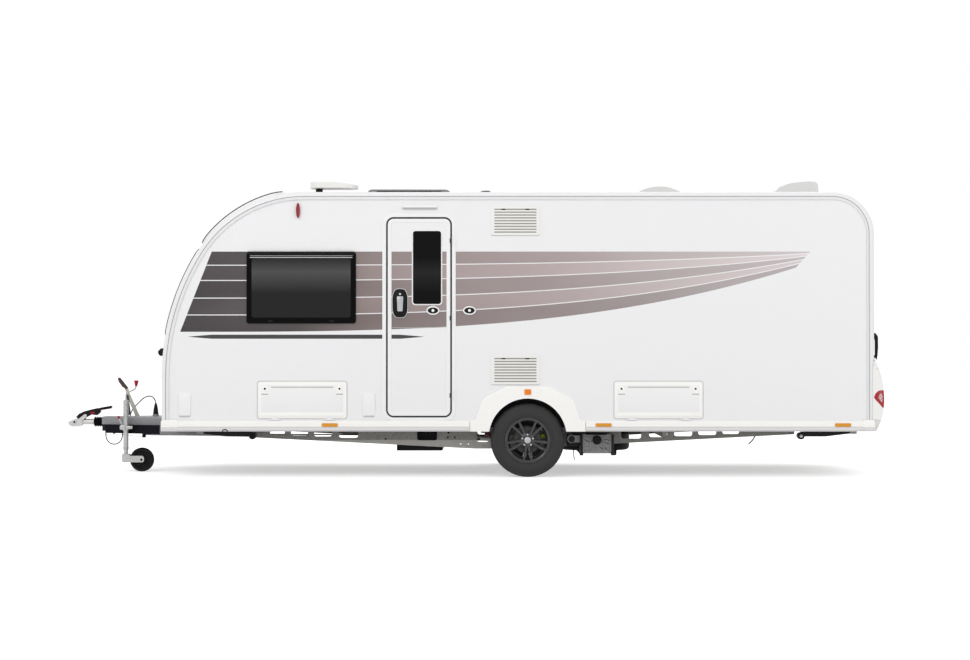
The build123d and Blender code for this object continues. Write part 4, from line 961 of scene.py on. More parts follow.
def place_mesh(name: str, mesh: bpy.types.Mesh) -> bpy.types.Object:
    """Puts a mesh into the scene, smooth but for its sharp edges.

    Args:
        name: the object's name.
        mesh: the mesh.

    Returns:
        The object.
    """
    mesh.shade_smooth()
    mesh.set_sharp_from_angle(angle=SHARP_ANGLE)
    return linked(name, mesh)


def settle(made: bpy.types.Object, finish: Finish, body: str) -> bpy.types.Object:
    """Gives an object its finish's material and its body.

    Args:
        made: the object.
        finish: its finish.
        body: the body that carries it.

    Returns:
        The object.
    """
    made.data.materials.clear()
    made.data.materials.append(finish.material())
    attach(made, body)
    LOG.info("%s rides on %s", made.name, body)
    return made


def bent_rod(
    name: str, points: Sequence[Point], radius: float, finish: Finish
) -> bpy.types.Object:
    """Makes a round bar along a smooth line, as a mesh on the root body.

    Args:
        name: the object's name.
        points: control points of the line.
        radius: the bar's radius.
        finish: its finish.

    Returns:
        The object.
    """
    line = smooth_line(name + "_line", points, radius)
    mesh = bpy.data.meshes.new_from_object(line)
    mesh.name = name
    bpy.data.objects.remove(line)
    return settle(place_mesh(name, mesh), finish, ROOT)


def smooth_line(name: str, points: Sequence[Point], radius: float) -> bpy.types.Object:
    """Makes a round curve object with the points as its control points.

    Args:
        name: the object's name.
        points: control points.
        radius: radius of the round section.

    Returns:
        The curve object.
    """
    data = bpy.data.curves.new(name, "CURVE")
    data.dimensions = "3D"
    data.bevel_depth = radius
    data.bevel_resolution = 6
    data.resolution_u = 12
    data.use_fill_caps = True
    spline = data.splines.new("NURBS")
    spline.points.add(len(points) - 1)
    for control, point in zip(spline.points, points):
        control.co = (*point, 1.0)
    spline.order_u = 3
    spline.use_endpoint_u = True
    return linked(name, data)


@dataclass
class Studio:
    """Camera, pale floor and soft light."""

    eye: Point = (0.192, -18.12, 1.111)
    pitch: float = 0.62
    focal_px: float = 1936.0
    image_w: float = 970.0
    sensor: float = 36.0
    sight: float = 400.0
    floor_half: float = 60.0
    floor_tint: Colour = (0.86, 0.86, 0.86)
    floor_glow: float = 0.50
    daylight: float = 0.79
    lamps: tuple[tuple[str, Point, Point, Span, float], ...] = (
        ("key", (-5.0, -11.0, 8.0), (0.0, 0.0, 1.3), (9.0, 5.0), 395.0),
        ("fill", (7.0, -9.0, 4.0), (0.5, 0.0, 1.0), (5.0, 4.0), 107.0),
        ("back", (3.0, 9.0, 7.5), (0.0, 0.0, 1.4), (8.0, 4.0), 300.0),
    )
    seen_rays: tuple[str, ...] = ("Is Camera Ray", "Is Glossy Ray", "Is Transmission Ray")

    def camera(self) -> None:
        """Puts the camera where the photograph was taken from."""
        data = bpy.data.cameras.new("camera")
        data.sensor_width = self.sensor
        data.lens = self.focal_px / self.image_w * self.sensor
        data.clip_end = self.sight
        made = linked("camera", data)
        made.location = self.eye
        made.rotation_euler = (math.radians(90.0 + self.pitch), 0.0, 0.0)
        bpy.context.scene.camera = made

    def lamp(self, name: str, spot: Point, aim: Point, size: Span, watts: float) -> None:
        """Adds a soft rectangular lamp.

        Args:
            name: its name.
            spot: its place.
            aim: the point that it faces.
            size: its width and height.
            watts: its power.
        """
        data = bpy.data.lights.new(name, "AREA")
        data.shape = "RECTANGLE"
        data.size, data.size_y = size
        data.energy = watts
        made = linked(name, data)
        made.location = spot
        made.rotation_mode = "QUATERNION"
        made.rotation_quaternion = (Vector(aim) - Vector(spot)).to_track_quat("-Z", "Y")

    def world(self) -> None:
        """White surroundings to the eye and in reflections, plain light elsewhere."""
        world = bpy.data.worlds.new("studio")
        world.use_nodes = True
        bpy.context.scene.world = world
        nodes, links = world.node_tree.nodes, world.node_tree.links
        path = nodes.new("ShaderNodeLightPath")
        seen = path.outputs[self.seen_rays[0]]
        for ray in self.seen_rays[1:]:
            either = nodes.new("ShaderNodeMath")
            either.operation = "MAXIMUM"
            links.new(seen, either.inputs[0])
            links.new(path.outputs[ray], either.inputs[1])
            seen = either.outputs[0]
        back = next(n for n in nodes if n.type == "BACKGROUND")
        strength = nodes.new("ShaderNodeMapRange")
        strength.inputs["To Min"].default_value = self.daylight
        strength.inputs["To Max"].default_value = 1.0
        links.new(seen, strength.inputs["Value"])
        links.new(strength.outputs[0], back.inputs["Strength"])
        back.inputs["Color"].default_value = (1.0, 1.0, 1.0, 1.0)

    def floor(self) -> None:
        """Pale floor that keeps the caravan's shadow and melts into the background."""
        tree = Tree("studio_floor")
        path = tree.add("ShaderNodeLightPath")
        seen = Val(tree, path.outputs[self.seen_rays[0]])
        for ray in self.seen_rays[1:]:
            seen = seen | Val(tree, path.outputs[ray])
        light = {"Color": (1.0, 1.0, 1.0), "Strength": seen * self.floor_glow}
        glow = tree.add("ShaderNodeEmission", {}, light)
        plain = tree.add("ShaderNodeBsdfDiffuse", {}, {"Color": self.floor_tint})
        both = tree.add("ShaderNodeAddShader", {}, {0: glow.outputs[0], 1: plain.outputs[0]})
        output = next(n for n in tree.material.node_tree.nodes if n.type == "OUTPUT_MATERIAL")
        tree.feed(output.inputs["Surface"], both.outputs[0])
        bm = bmesh.new()
        bmesh.ops.create_grid(bm, x_segments=1, y_segments=1, size=self.floor_half)
        mesh = bpy.data.meshes.new("studio_floor")
        bm.to_mesh(mesh)
        bm.free()
        mesh.materials.append(tree.material)
        linked("studio_floor", mesh)

    def build(self) -> None:
        """Sets up the whole studio."""
        self.camera()
        self.world()
        self.floor()
        for lamp in self.lamps:
            self.lamp(*lamp)


@dataclass
class HitchLeads:
    """Free cords at the hitch: plug lead, hanging loop and breakaway wire."""

    lead: float = 0.010
    wire: float = 0.004
    plug_route: Route = (
        (-3.137, 0.058, 0.502), (-3.133, 0.057, 0.526), (-3.115, 0.055, 0.564),
        (-3.081, 0.052, 0.602), (-3.045, 0.048, 0.638), (-3.009, 0.042, 0.670),
        (-2.967, 0.036, 0.690), (-2.927, 0.032, 0.684), (-2.901, 0.030, 0.658),
        (-2.893, 0.030, 0.6245),
    )
    loop_route: Route = (
        (-3.352, -0.020, 0.3657), (-3.352, -0.020, 0.318), (-3.338, -0.020, 0.274),
        (-3.304, -0.020, 0.244), (-3.258, -0.020, 0.238), (-3.218, -0.020, 0.260),
        (-3.196, -0.020, 0.302), (-3.190, -0.020, 0.365),
    )
    wire_route: Route = (
        (-3.5705, 0.0, 0.421), (-3.560, 0.0, 0.392), (-3.528, 0.0, 0.364), (-3.476, 0.0, 0.344),
        (-3.418, 0.0, 0.334), (-3.360, 0.0, 0.331), (-3.302, 0.0, 0.3315), (-3.244, 0.0, 0.330),
        (-3.186, 0.0, 0.3265), (-3.128, 0.0, 0.3215), (-3.070, 0.0, 0.3145), (-3.013, 0.0, 0.306),
    )

    def cord(
        self, name: str, node: str, route: Sequence[Point], size: float, finish: Finish
    ) -> bpy.types.Object:
        """Makes one cord over its CAD node.

        Args:
            name: the cord's name.
            node: the CAD node that it replaces.
            route: control points.
            size: its diameter.
            finish: its finish.

        Returns:
            The curve object.
        """
        made = settle(smooth_line(name, route, size / 2), finish, ROOT)
        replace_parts(made, node)
        return made

    def build(self) -> None:
        plug = self.cord("plug_lead_cord", "plug_lead", self.plug_route, self.lead, LEAD)
        loop = self.cord("lead_loop_cord", "lead_loop", self.loop_route, self.lead, LEAD)
        wire = self.cord("breakaway_cord", "breakaway_wire", self.wire_route, self.wire, WIRE)


def grown(span: Span, by: float) -> Span:
    """Span widened at both ends."""
    return span[0] - by, span[1] + by


def about(middle: float, half: float) -> Span:
    """Span round a middle."""
    return middle - half, middle + half


def on(base: float, low: float, high: float) -> Span:
    """Span measured from a base."""
    return base + low, base + high


def skin(low: float, high: float) -> Span:
    """Span outward from the face of the side walls."""
    return on(SIDE_Y, low, high)


def within(value: float, span: Span) -> bool:
    """Whether a value lies inside a span."""
    return span[0] < value < span[1]


def placed(outline: Sequence[Span], spot: Span, scale: Span = (1.0, 1.0)) -> list[Span]:
    """Outline put at a spot."""
    return [(spot[0] + a * scale[0], spot[1] + b * scale[1]) for a, b in outline]


@dataclass
class EntranceDoor:
    """Door trim: frame, seal, leaf border, window surround, handle and retainers."""

    body: str = "entrance_door"
    x: Span = (-0.677, -0.098)
    z: Span = (0.527, 2.287)
    corner: float = 0.066
    gap: float = 0.006
    gap_spare: float = 0.0006
    frame_w: float = 0.033
    seal_w: float = 0.009
    glass_x: Span = (-0.440, -0.194)
    glass_z: Span = (1.523, 2.164)
    glass_corner: float = 0.022
    bead_w: float = 0.011
    bead_rim: float = 0.0105
    split_z: float = 1.316
    split_half: float = 0.0015
    split_in: float = 0.05
    handle: Span = (-0.554, 1.530)
    handle_outline: Outline = (
        (-0.042, -0.125), (0.042, -0.125), (0.066, -0.066), (0.066, 0.066),
        (0.042, 0.125), (-0.042, 0.125), (-0.066, 0.066), (-0.066, -0.066),
    )
    rim_scale: Span = (1.07, 1.035)
    paddle: Outline = (
        (-0.029, 0.060), (0.029, 0.060), (0.023, -0.072), (-0.023, -0.072),
    )
    lock: Span = (0.001, -0.096)
    lock_r: float = 0.013
    button: Span = (0.0, 0.080)
    button_r: float = 0.009
    catches: tuple[tuple[str, str, Span, float], ...] = (
        ("door_catch", "entrance_door", (-0.265, 1.466), 1.130),
        ("wall_catch", ROOT, (0.056, 1.466), 1.132),
    )
    ring_half: Span = (0.058, 0.039)
    cup_half: Span = (0.046, 0.027)
    peg_r: Span = (0.014, 0.011)

    def borders(self) -> None:
        """Frame on the wall, seal in the gap, dark lip and white border on the leaf."""
        border = self.gap + self.seal_w
        seal = self.gap - self.gap_spare
        rows = (
            ("door_frame", self.frame_w, skin(-0.004, 0.0062), 0.0022, self.frame_w, SHELL, ROOT),
            ("door_seal", 0.0, skin(-0.030, 0.001), 0.0, seal, GASKET, ROOT),
            ("door_lip", -self.gap, skin(-0.004, 0.0015), 0.0005, self.seal_w, GASKET, self.body),
            ("door_border", -border, skin(-0.004, 0.004), 0.0016, self.frame_w, SHELL, self.body))
        for name, growth, out, edge, rim, finish, body in rows:
            ring = Shape().plate(Side.NEAR, grown(self.x, growth), grown(self.z, growth), out,
                                 self.corner + growth, edge, rim)
            ring.piece(name, finish, body)

    def window_surround(self) -> None:
        """White bead round the pane and the seam where the leaf splits."""
        bead = Shape().plate(
            Side.NEAR, grown(self.glass_x, self.bead_w), grown(self.glass_z, self.bead_w),
            skin(-0.004, 0.0065), self.glass_corner + self.bead_w, 0.002, self.bead_rim)
        bead.piece("door_window_bead", SHELL, self.body)
        seam = Shape().plate(
            Side.NEAR, grown(self.x, -self.split_in), about(self.split_z, self.split_half),
            skin(-0.002, 0.0004))
        seam.piece("door_split_seam", SEAM, self.body)

    def handle_set(self) -> None:
        """Barrel-sided handle plate with its bright rim, paddle, lock and button."""
        rim = Shape().sheet(
            Side.NEAR, placed(self.handle_outline, self.handle, self.rim_scale),
            skin(-0.002, 0.008), 0.026, 0.002)
        rim.piece("handle_rim", RAIL_AND_HIGHLIGHT, self.body)
        plate = Shape().sheet(
            Side.NEAR, placed(self.handle_outline, self.handle), skin(0.002, 0.014), 0.024, 0.004)
        lock, button = placed((self.lock, self.button), self.handle)
        plate.disc(Side.NEAR, lock, self.lock_r, skin(0.012, 0.017), 0.002)
        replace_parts(plate.piece("handle_plate", BLACK, self.body), "door_handle")
        paddle = Shape().sheet(
            Side.NEAR, placed(self.paddle, self.handle), skin(0.012, 0.0195), 0.008, 0.003)
        paddle.piece("handle_paddle", SATIN, self.body)
        knob = Shape().disc(Side.NEAR, button, self.button_r, skin(0.012, 0.0165), 0.002)
        knob.piece("handle_button", RAIL_AND_HIGHLIGHT, self.body)

    def retainers(self) -> None:
        """Dark cups with white pegs on the door and on the wall."""
        for name, body, spot, out in self.catches:
            ring = Shape().oval(
                Side.NEAR, spot, self.ring_half, (SIDE_Y - 0.002, out + 0.001), 0.003)
            ring.piece(name + "_ring", SHELL, body)
            cup = Shape().oval(Side.NEAR, spot, self.cup_half, on(out, 0.0, 0.002), 0.0008)
            cup.piece(name + "_cup", BLACK, body)
            peg = Shape().pin(spot, on(out, 0.0, 0.006), *self.peg_r, sides=24, edge=0.002)
            peg.piece(name + "_peg", WHITE, body)

    def build(self) -> None:
        """Builds the whole door trim."""
        self.borders()
        self.window_surround()
        self.handle_set()
        self.retainers()


@dataclass
class SideWindows:
    """Hinged side windows: pane fields with a painted reflection, top hinge rails, painted
    highlight lines and latches.
    """

    panes: tuple[tuple[Side, Span, Span], ...] = (
        (Side.NEAR, (-1.902, -0.941), (1.352, 1.980)),
        (Side.OFF, (-1.902, -0.941), (1.352, 1.980)),
        (Side.OFF, (-0.560, 0.240), (1.450, 1.980)),
        (Side.OFF, (1.500, 2.300), (1.400, 1.980)),
    )
    proud: float = 0.018
    field_in: float = 0.046
    field_z: Span = (0.052, -0.058)
    field_corner: float = 0.022
    rail_in: float = 0.012
    rail_z: Span = (-0.026, 0.004)
    line_in: float = 0.030
    # The pale lines along the top of each pane are painted highlights.
    lines: tuple[tuple[Span, float, float], ...] = (
        ((-0.052, -0.047), 0.0012, 0.002), ((-0.036, -0.033), 0.0010, 0.001),
    )
    latch_places: Span = (0.22, 0.78)
    latch_half: float = 0.022
    latch_z: Span = (0.012, 0.030)

    def build(self) -> None:
        """Adds the details of every window."""
        face = SIDE_Y + self.proud
        fields, rails, lines, latches = Shape(), Shape(), Shape(), Shape()
        for side, x, (low, high) in self.panes:
            tall = low + self.field_z[0], high + self.field_z[1]
            fields.plate(
                side, grown(x, -self.field_in), tall, on(face, -0.001, 0.0007), self.field_corner)
            rails.plate(side, grown(x, -self.rail_in), on(high, *self.rail_z),
                        on(face, -0.014, 0.004), 0.006, 0.004)
            for up, proud, corner in self.lines:
                lines.plate(
                    side, grown(x, -self.line_in), on(high, *up), on(face, -0.001, proud), corner)
            for share in self.latch_places:
                at = x[0] + share * (x[1] - x[0])
                latches.plate(side, about(at, self.latch_half), on(low, *self.latch_z),
                              on(face, -0.001, 0.003), 0.006, 0.001)
        fields.piece("side_pane_fields", GRADED)
        rails.piece("side_window_rails", BLACK)
        lines.piece("side_window_highlight_lines", RAIL_AND_HIGHLIGHT)
        latches.piece("side_window_latches", BLACK)


@dataclass
class FrontGlazing:
    """Front and sky windows: pale raised frames with dark panes on them, along the nose."""

    lower: Point = (-0.573, 0.88734, 2.080)
    upper: Point = (-1.40136, 1.411, 1.100)
    turn: float = 32.3
    front_z: Span = (1.238, 2.018)
    front_y: Outline = ((-1.024, -0.526), (-0.504, 0.504), (0.526, 1.024))
    front_corner: float = 0.074
    sky_angle: Span = (35.0, 79.6)
    sky_half: float = 0.950
    sky_corner: float = 0.110
    sky_rise: float = 0.024
    steps: int = 28
    rise: float = 0.014
    glass: float = 0.0205
    pane_in: float = 0.008

    def arc(self, angle: float) -> Point:
        """Arc of the nose profile at an angle."""
        return self.lower if angle < self.turn else self.upper

    def at(self, angle: float, out: float) -> Span:
        """Point of the nose profile.

        Args:
            angle: degrees up from level, seen from the arc's middle.
            out: distance outside the panel.

        Returns:
            X and Z.
        """
        x, z, radius = self.arc(angle)
        turn = math.radians(180.0 - angle)
        return x + (radius + out) * math.cos(turn), z + (radius + out) * math.sin(turn)

    def slab(
        self, shape: Shape, angles: Span, y: Span, out: Span, corner: float, edge: float = 0.0
    ) -> None:
        """Adds a curved slab with round corners over the nose.

        Args:
            shape: the shape that takes it.
            angles: its span up the nose, in degrees.
            y: its span across.
            out: its span outward.
            corner: radius of its corners.
            edge: bevel of its outer rim.
        """
        start = set(shape.bm.verts)
        length = math.radians(angles[1] - angles[0]) * self.arc(angles[0])[2]
        shape.plate(Side.TOP, (0.0, length), y, out, corner, edge)
        fresh = [v for v in shape.bm.verts if v not in start]
        faces = {f for v in fresh for f in v.link_faces}
        for step in range(1, self.steps):
            spot = Vector((length * step / self.steps, 0.0, 0.0))
            edges = {e for f in faces for e in f.edges}
            geom = [*faces, *edges, *{v for f in faces for v in f.verts}]
            bmesh.ops.bisect_plane(
                shape.bm, geom=geom, dist=MERGE, plane_co=spot, plane_no=(1.0, 0.0, 0.0))
            faces = {f for v in shape.bm.verts if v not in start for f in v.link_faces}
        for vert in [v for v in shape.bm.verts if v not in start]:
            angle = angles[0] + (angles[1] - angles[0]) * vert.co.x / length
            x, z = self.at(angle, vert.co.z)
            vert.co = (x, vert.co.y, z)

    def build(self) -> None:
        """Adds the frames and panes."""
        frames, panes = Shape(), Shape()
        _, middle, radius = self.lower
        low, high = (math.degrees(math.asin((z - middle) / radius)) for z in self.front_z)
        sets = [((low, high), y, self.front_corner, 0.0) for y in self.front_y]
        sets.append((self.sky_angle, about(0.0, self.sky_half), self.sky_corner, self.sky_rise))
        for angles, y, corner, lift in sets:
            self.slab(frames, angles, y, (-0.003, self.rise + lift), corner, 0.004 + lift / 3)
            inset = math.degrees(self.pane_in / self.arc(angles[0])[2])
            self.slab(panes, grown(angles, -inset), grown(y, -self.pane_in),
                      (self.rise + lift - 0.002, self.glass + lift), corner - self.pane_in)
        frames.piece("front_window_frames", SHELL)
        panes.piece("front_window_panes", TINT)


@dataclass
class Lockers:
    """Locker doors: raised rim and lower ridge, panel, seal, round locks, a groove line of painted
    shade and painted shadows under the locks.
    """

    z: Span = (0.511, 0.849)
    doors: tuple[tuple[str, Side, Span], ...] = (
        ("front_locker_door", Side.NEAR, (-1.810, -1.015)),
        ("rear_locker_door", Side.NEAR, (1.320, 2.110)),
        ("cassette_door", Side.OFF, (2.560, 2.960)),
    )
    rim_in: float = 0.0075
    ridge_in: float = 0.026
    ridge_z: Span = (0.0225, 0.060)
    panel_in: float = 0.038
    panel_low: float = 0.056
    seal_w: float = 0.0054
    groove_in: float = 0.125
    groove_z: Span = (0.7895, 0.7970)
    lock_in: float = 0.070
    lock_z: float = 0.775
    lock_r: float = 0.031
    foot_half: float = 0.038
    foot_z: Span = (-0.040, -0.026)
    shade_half: float = 0.030
    shade_z: Span = (-0.047, -0.039)
    key_lift: float = 0.004
    key_r: float = 0.0095

    def build(self) -> None:
        """Adds the details of every locker door."""
        low, high = self.z
        for body, side, x in self.doors:
            ridge = Shape().plate(
                side, grown(x, -self.ridge_in), on(low, *self.ridge_z), skin(-0.002, 0.010), 0.014,
                0.008)
            ridge.plate(side, grown(x, -self.rim_in), grown(self.z, -self.rim_in),
                        skin(-0.002, 0.0045), 0.021, 0.003)
            ridge.piece(body + "_ridge", WHITE, body)
            panel = Shape().plate(
                side, grown(x, -self.panel_in), (low + self.panel_low, high - self.panel_in),
                skin(0.003, 0.0055), 0.012, 0.0006)
            panel.piece(body + "_panel", SHELL, body)
            seal = Shape().plate(side, x, self.z, skin(-0.020, -0.0025), 0.028, 0.0, self.seal_w)
            seal.piece(body + "_seal", SEAM)
            # The grey groove line and the grey strips under the locks are painted shade.
            groove = Shape().plate(
                side, grown(x, -self.groove_in), self.groove_z, skin(0.004, 0.0060), 0.002)
            locks, keys = Shape(), Shape()
            for at in grown(x, -self.lock_in):
                groove.plate(side, about(at, self.shade_half), on(self.lock_z, *self.shade_z),
                             skin(0.004, 0.0060), 0.002)
                locks.disc(side, (at, self.lock_z), self.lock_r, skin(0.002, 0.0090), 0.003)
                locks.plate(side, about(at, self.foot_half), on(self.lock_z, *self.foot_z),
                            skin(0.002, 0.0105), 0.006, 0.003)
                keys.disc(
                    side, (at, self.lock_z + self.key_lift), self.key_r, skin(0.007, 0.0098), 0.001)
            groove.piece(body + "_groove_and_lock_shadows", MESH_AND_SHADE_GREY, body)
            locks.piece(body + "_locks", WHITE, body)
            keys.piece(body + "_keyholes", BLACK, body)


@dataclass
class WallFittings:
    """Vents with fly mesh, latches and painted shadow strips under them, and the lids of the
    service flaps with painted shadow gaps under them.
    """

    vents: Outline = ((0.459, 2.257), (0.459, 0.946))
    vent_half: Span = (0.210, 0.1285)
    rows: int = 9
    pitch: float = 0.025
    first_row: float = 0.020
    mesh_in: float = 0.0245
    mesh_z: Span = (0.0005, 0.0115)
    latches: Span = (-0.105, 0.105)
    latch_half: float = 0.017
    latch_h: float = 0.012
    vent_shadow_z: Span = (-0.004, 0.002)
    flaps: tuple[tuple[Side, Span, Span], ...] = (
        (Side.NEAR, (-2.444, 0.641), (0.051, 0.0965)),
        (Side.NEAR, (-0.827, 0.641), (0.051, 0.0965)),
        (Side.OFF, (-0.420, 0.660), (0.080, 0.095)),
        (Side.OFF, (1.420, 0.660), (0.080, 0.095)),
    )
    lid_over: float = 0.003
    shadow_in: float = 0.004
    shadow_z: Span = (-0.013, -0.002)

    def build(self) -> None:
        """Adds all fittings."""
        mesh, latches, vent_shadows = Shape(), Shape(), Shape()
        wide, tall = self.vent_half
        for x, z in self.vents:
            foot = z - tall
            for row in range(self.rows):
                low = foot + self.first_row + row * self.pitch
                mesh.plate(Side.NEAR, grown(about(x, wide), -self.mesh_in), on(low, *self.mesh_z),
                           skin(0.003, 0.0036), 0.004)
            top = foot + self.first_row + (self.rows - 1) * self.pitch
            for place in self.latches:
                latches.plate(Side.NEAR, about(x + place, self.latch_half),
                              on(top, 0.0, self.latch_h), skin(0.004, 0.0105), 0.004, 0.001)
            # A grey strip under each vent is painted shadow.
            vent_shadows.plate(
                Side.NEAR, about(x, wide), on(foot, *self.vent_shadow_z), skin(-0.001, 0.006), 0.002)
        mesh.piece("vent_mesh", MESH_AND_SHADE_GREY)
        latches.piece("vent_latches", BLACK)
        lids, shadows = Shape(), Shape()
        for side, (x, z), (wide, tall) in self.flaps:
            lids.plate(side, grown(about(x, wide), self.lid_over),
                       grown(about(z, tall), self.lid_over), skin(-0.002, 0.0125), 0.016, 0.006)
            shadows.plate(side, grown(about(x, wide), -self.shadow_in),
                          on(z - tall, *self.shadow_z), skin(-0.001, 0.006), 0.002)
        lids.piece("flap_lids", SHELL)
        shadows.piece("flap_shadow_gaps", SEAM)
        vent_shadows.piece("vent_shadow_lines", SEAM)


@dataclass
class Skirting:
    """Skirt bead and groove, end caps, screws, and the seams beside the arch mouldings."""

    runs: Outline = ((-2.645, 0.054), (1.080, 3.608))
    face: float = 1.138
    groove_z: float = 0.4445
    groove_half: float = 0.002
    bead_y: float = -1.1275
    bead_z: float = 0.4885
    bead_r: float = 0.0095
    seams: Span = (0.057, 1.077)
    seam_z: Span = (0.412, 0.488)
    screws: Span = (-2.543, 3.520)
    screw_z: float = 0.4275
    screw_r: float = 0.007
    screw_out: Span = (0.002, 0.0052)
    caps: Outline = ((-2.650, -2.500), (3.505, 3.6125))
    cap_z: Span = (0.410, 0.506)
    cap_out: Span = (-0.010, 0.004)

    def build(self) -> None:
        """Adds the skirt details on both sides."""
        groove, bead, seams, screws, caps = Shape(), Shape(), Shape(), Shape(), Shape()
        for x in self.runs:
            groove.plate(
                Side.NEAR, x, about(self.groove_z, self.groove_half), on(self.face, -0.001, 0.0005))
            start, end = ((at, self.bead_y, self.bead_z) for at in x)
            bead.rod(start, end, self.bead_r, sides=16)
        for at in self.seams:
            seams.plate(Side.NEAR, about(at, 0.001), self.seam_z, on(self.face, -0.006, 0.0005))
        for at in self.screws:
            screws.disc(
                Side.NEAR, (at, self.screw_z), self.screw_r, on(self.face, *self.screw_out), 0.0006)
        for x in self.caps:
            caps.plate(Side.NEAR, x, self.cap_z, on(self.face, *self.cap_out), 0.020, 0.004)
        caps.both_sides().piece("skirt_end_caps", SKIRT)
        groove.both_sides().piece("skirt_groove_and_lock_shadows", SEAM)
        bead.both_sides().piece("skirt_bead", WHITE)
        seams.both_sides().piece("skirt_seams", SEAM)
        screws.both_sides().piece("skirt_screws", RAIL_AND_HIGHLIGHT)


@dataclass
class RoofSet:
    """Flanges of the roof pieces, hinge of the rooflight and foot of the aerial."""

    roof: float = 2.511
    flanges: tuple[tuple[str, Span, Span, float], ...] = (
        ("rooflight", (-0.867, -0.105), (-0.915, -0.165), 0.072),
        ("low_dome", (1.568, 2.004), (-0.457, -0.013), 0.014),
        ("rear_dome", (2.790, 3.214), (-0.737, -0.323), 0.014),
    )
    flange_out: Span = (-0.002, 0.010)
    flange_w: float = 0.016
    hinge: Box = ((-0.77, -0.20), (-0.935, -0.918), (2.511, 2.533))
    aerial: Span = (-1.300, -0.700)
    foot: Outline = ((0.0, 0.018), (0.046, 0.018), (0.058, 0.0), (0.0, 0.0))
    stub_r: float = 0.0315
    stub_h: float = 0.058

    def build(self) -> None:
        """Adds the roof details."""
        for name, x, y, corner in self.flanges:
            flange = Shape().plate(
                Side.TOP, x, y, on(self.roof, *self.flange_out), corner, 0.003, self.flange_w)
            flange.piece(name + "_flange", WHITE)
        Shape().block(*self.hinge, 0.004).piece("rooflight_hinge", BLACK)
        low, high = ((*self.aerial, z) for z in on(self.roof, 0.0, self.stub_h))
        foot = Shape().lathe(self.foot, low, UP, steps=48)
        foot.rod(low, high, self.stub_r, sides=40)
        foot.piece("aerial_foot", BLACK)


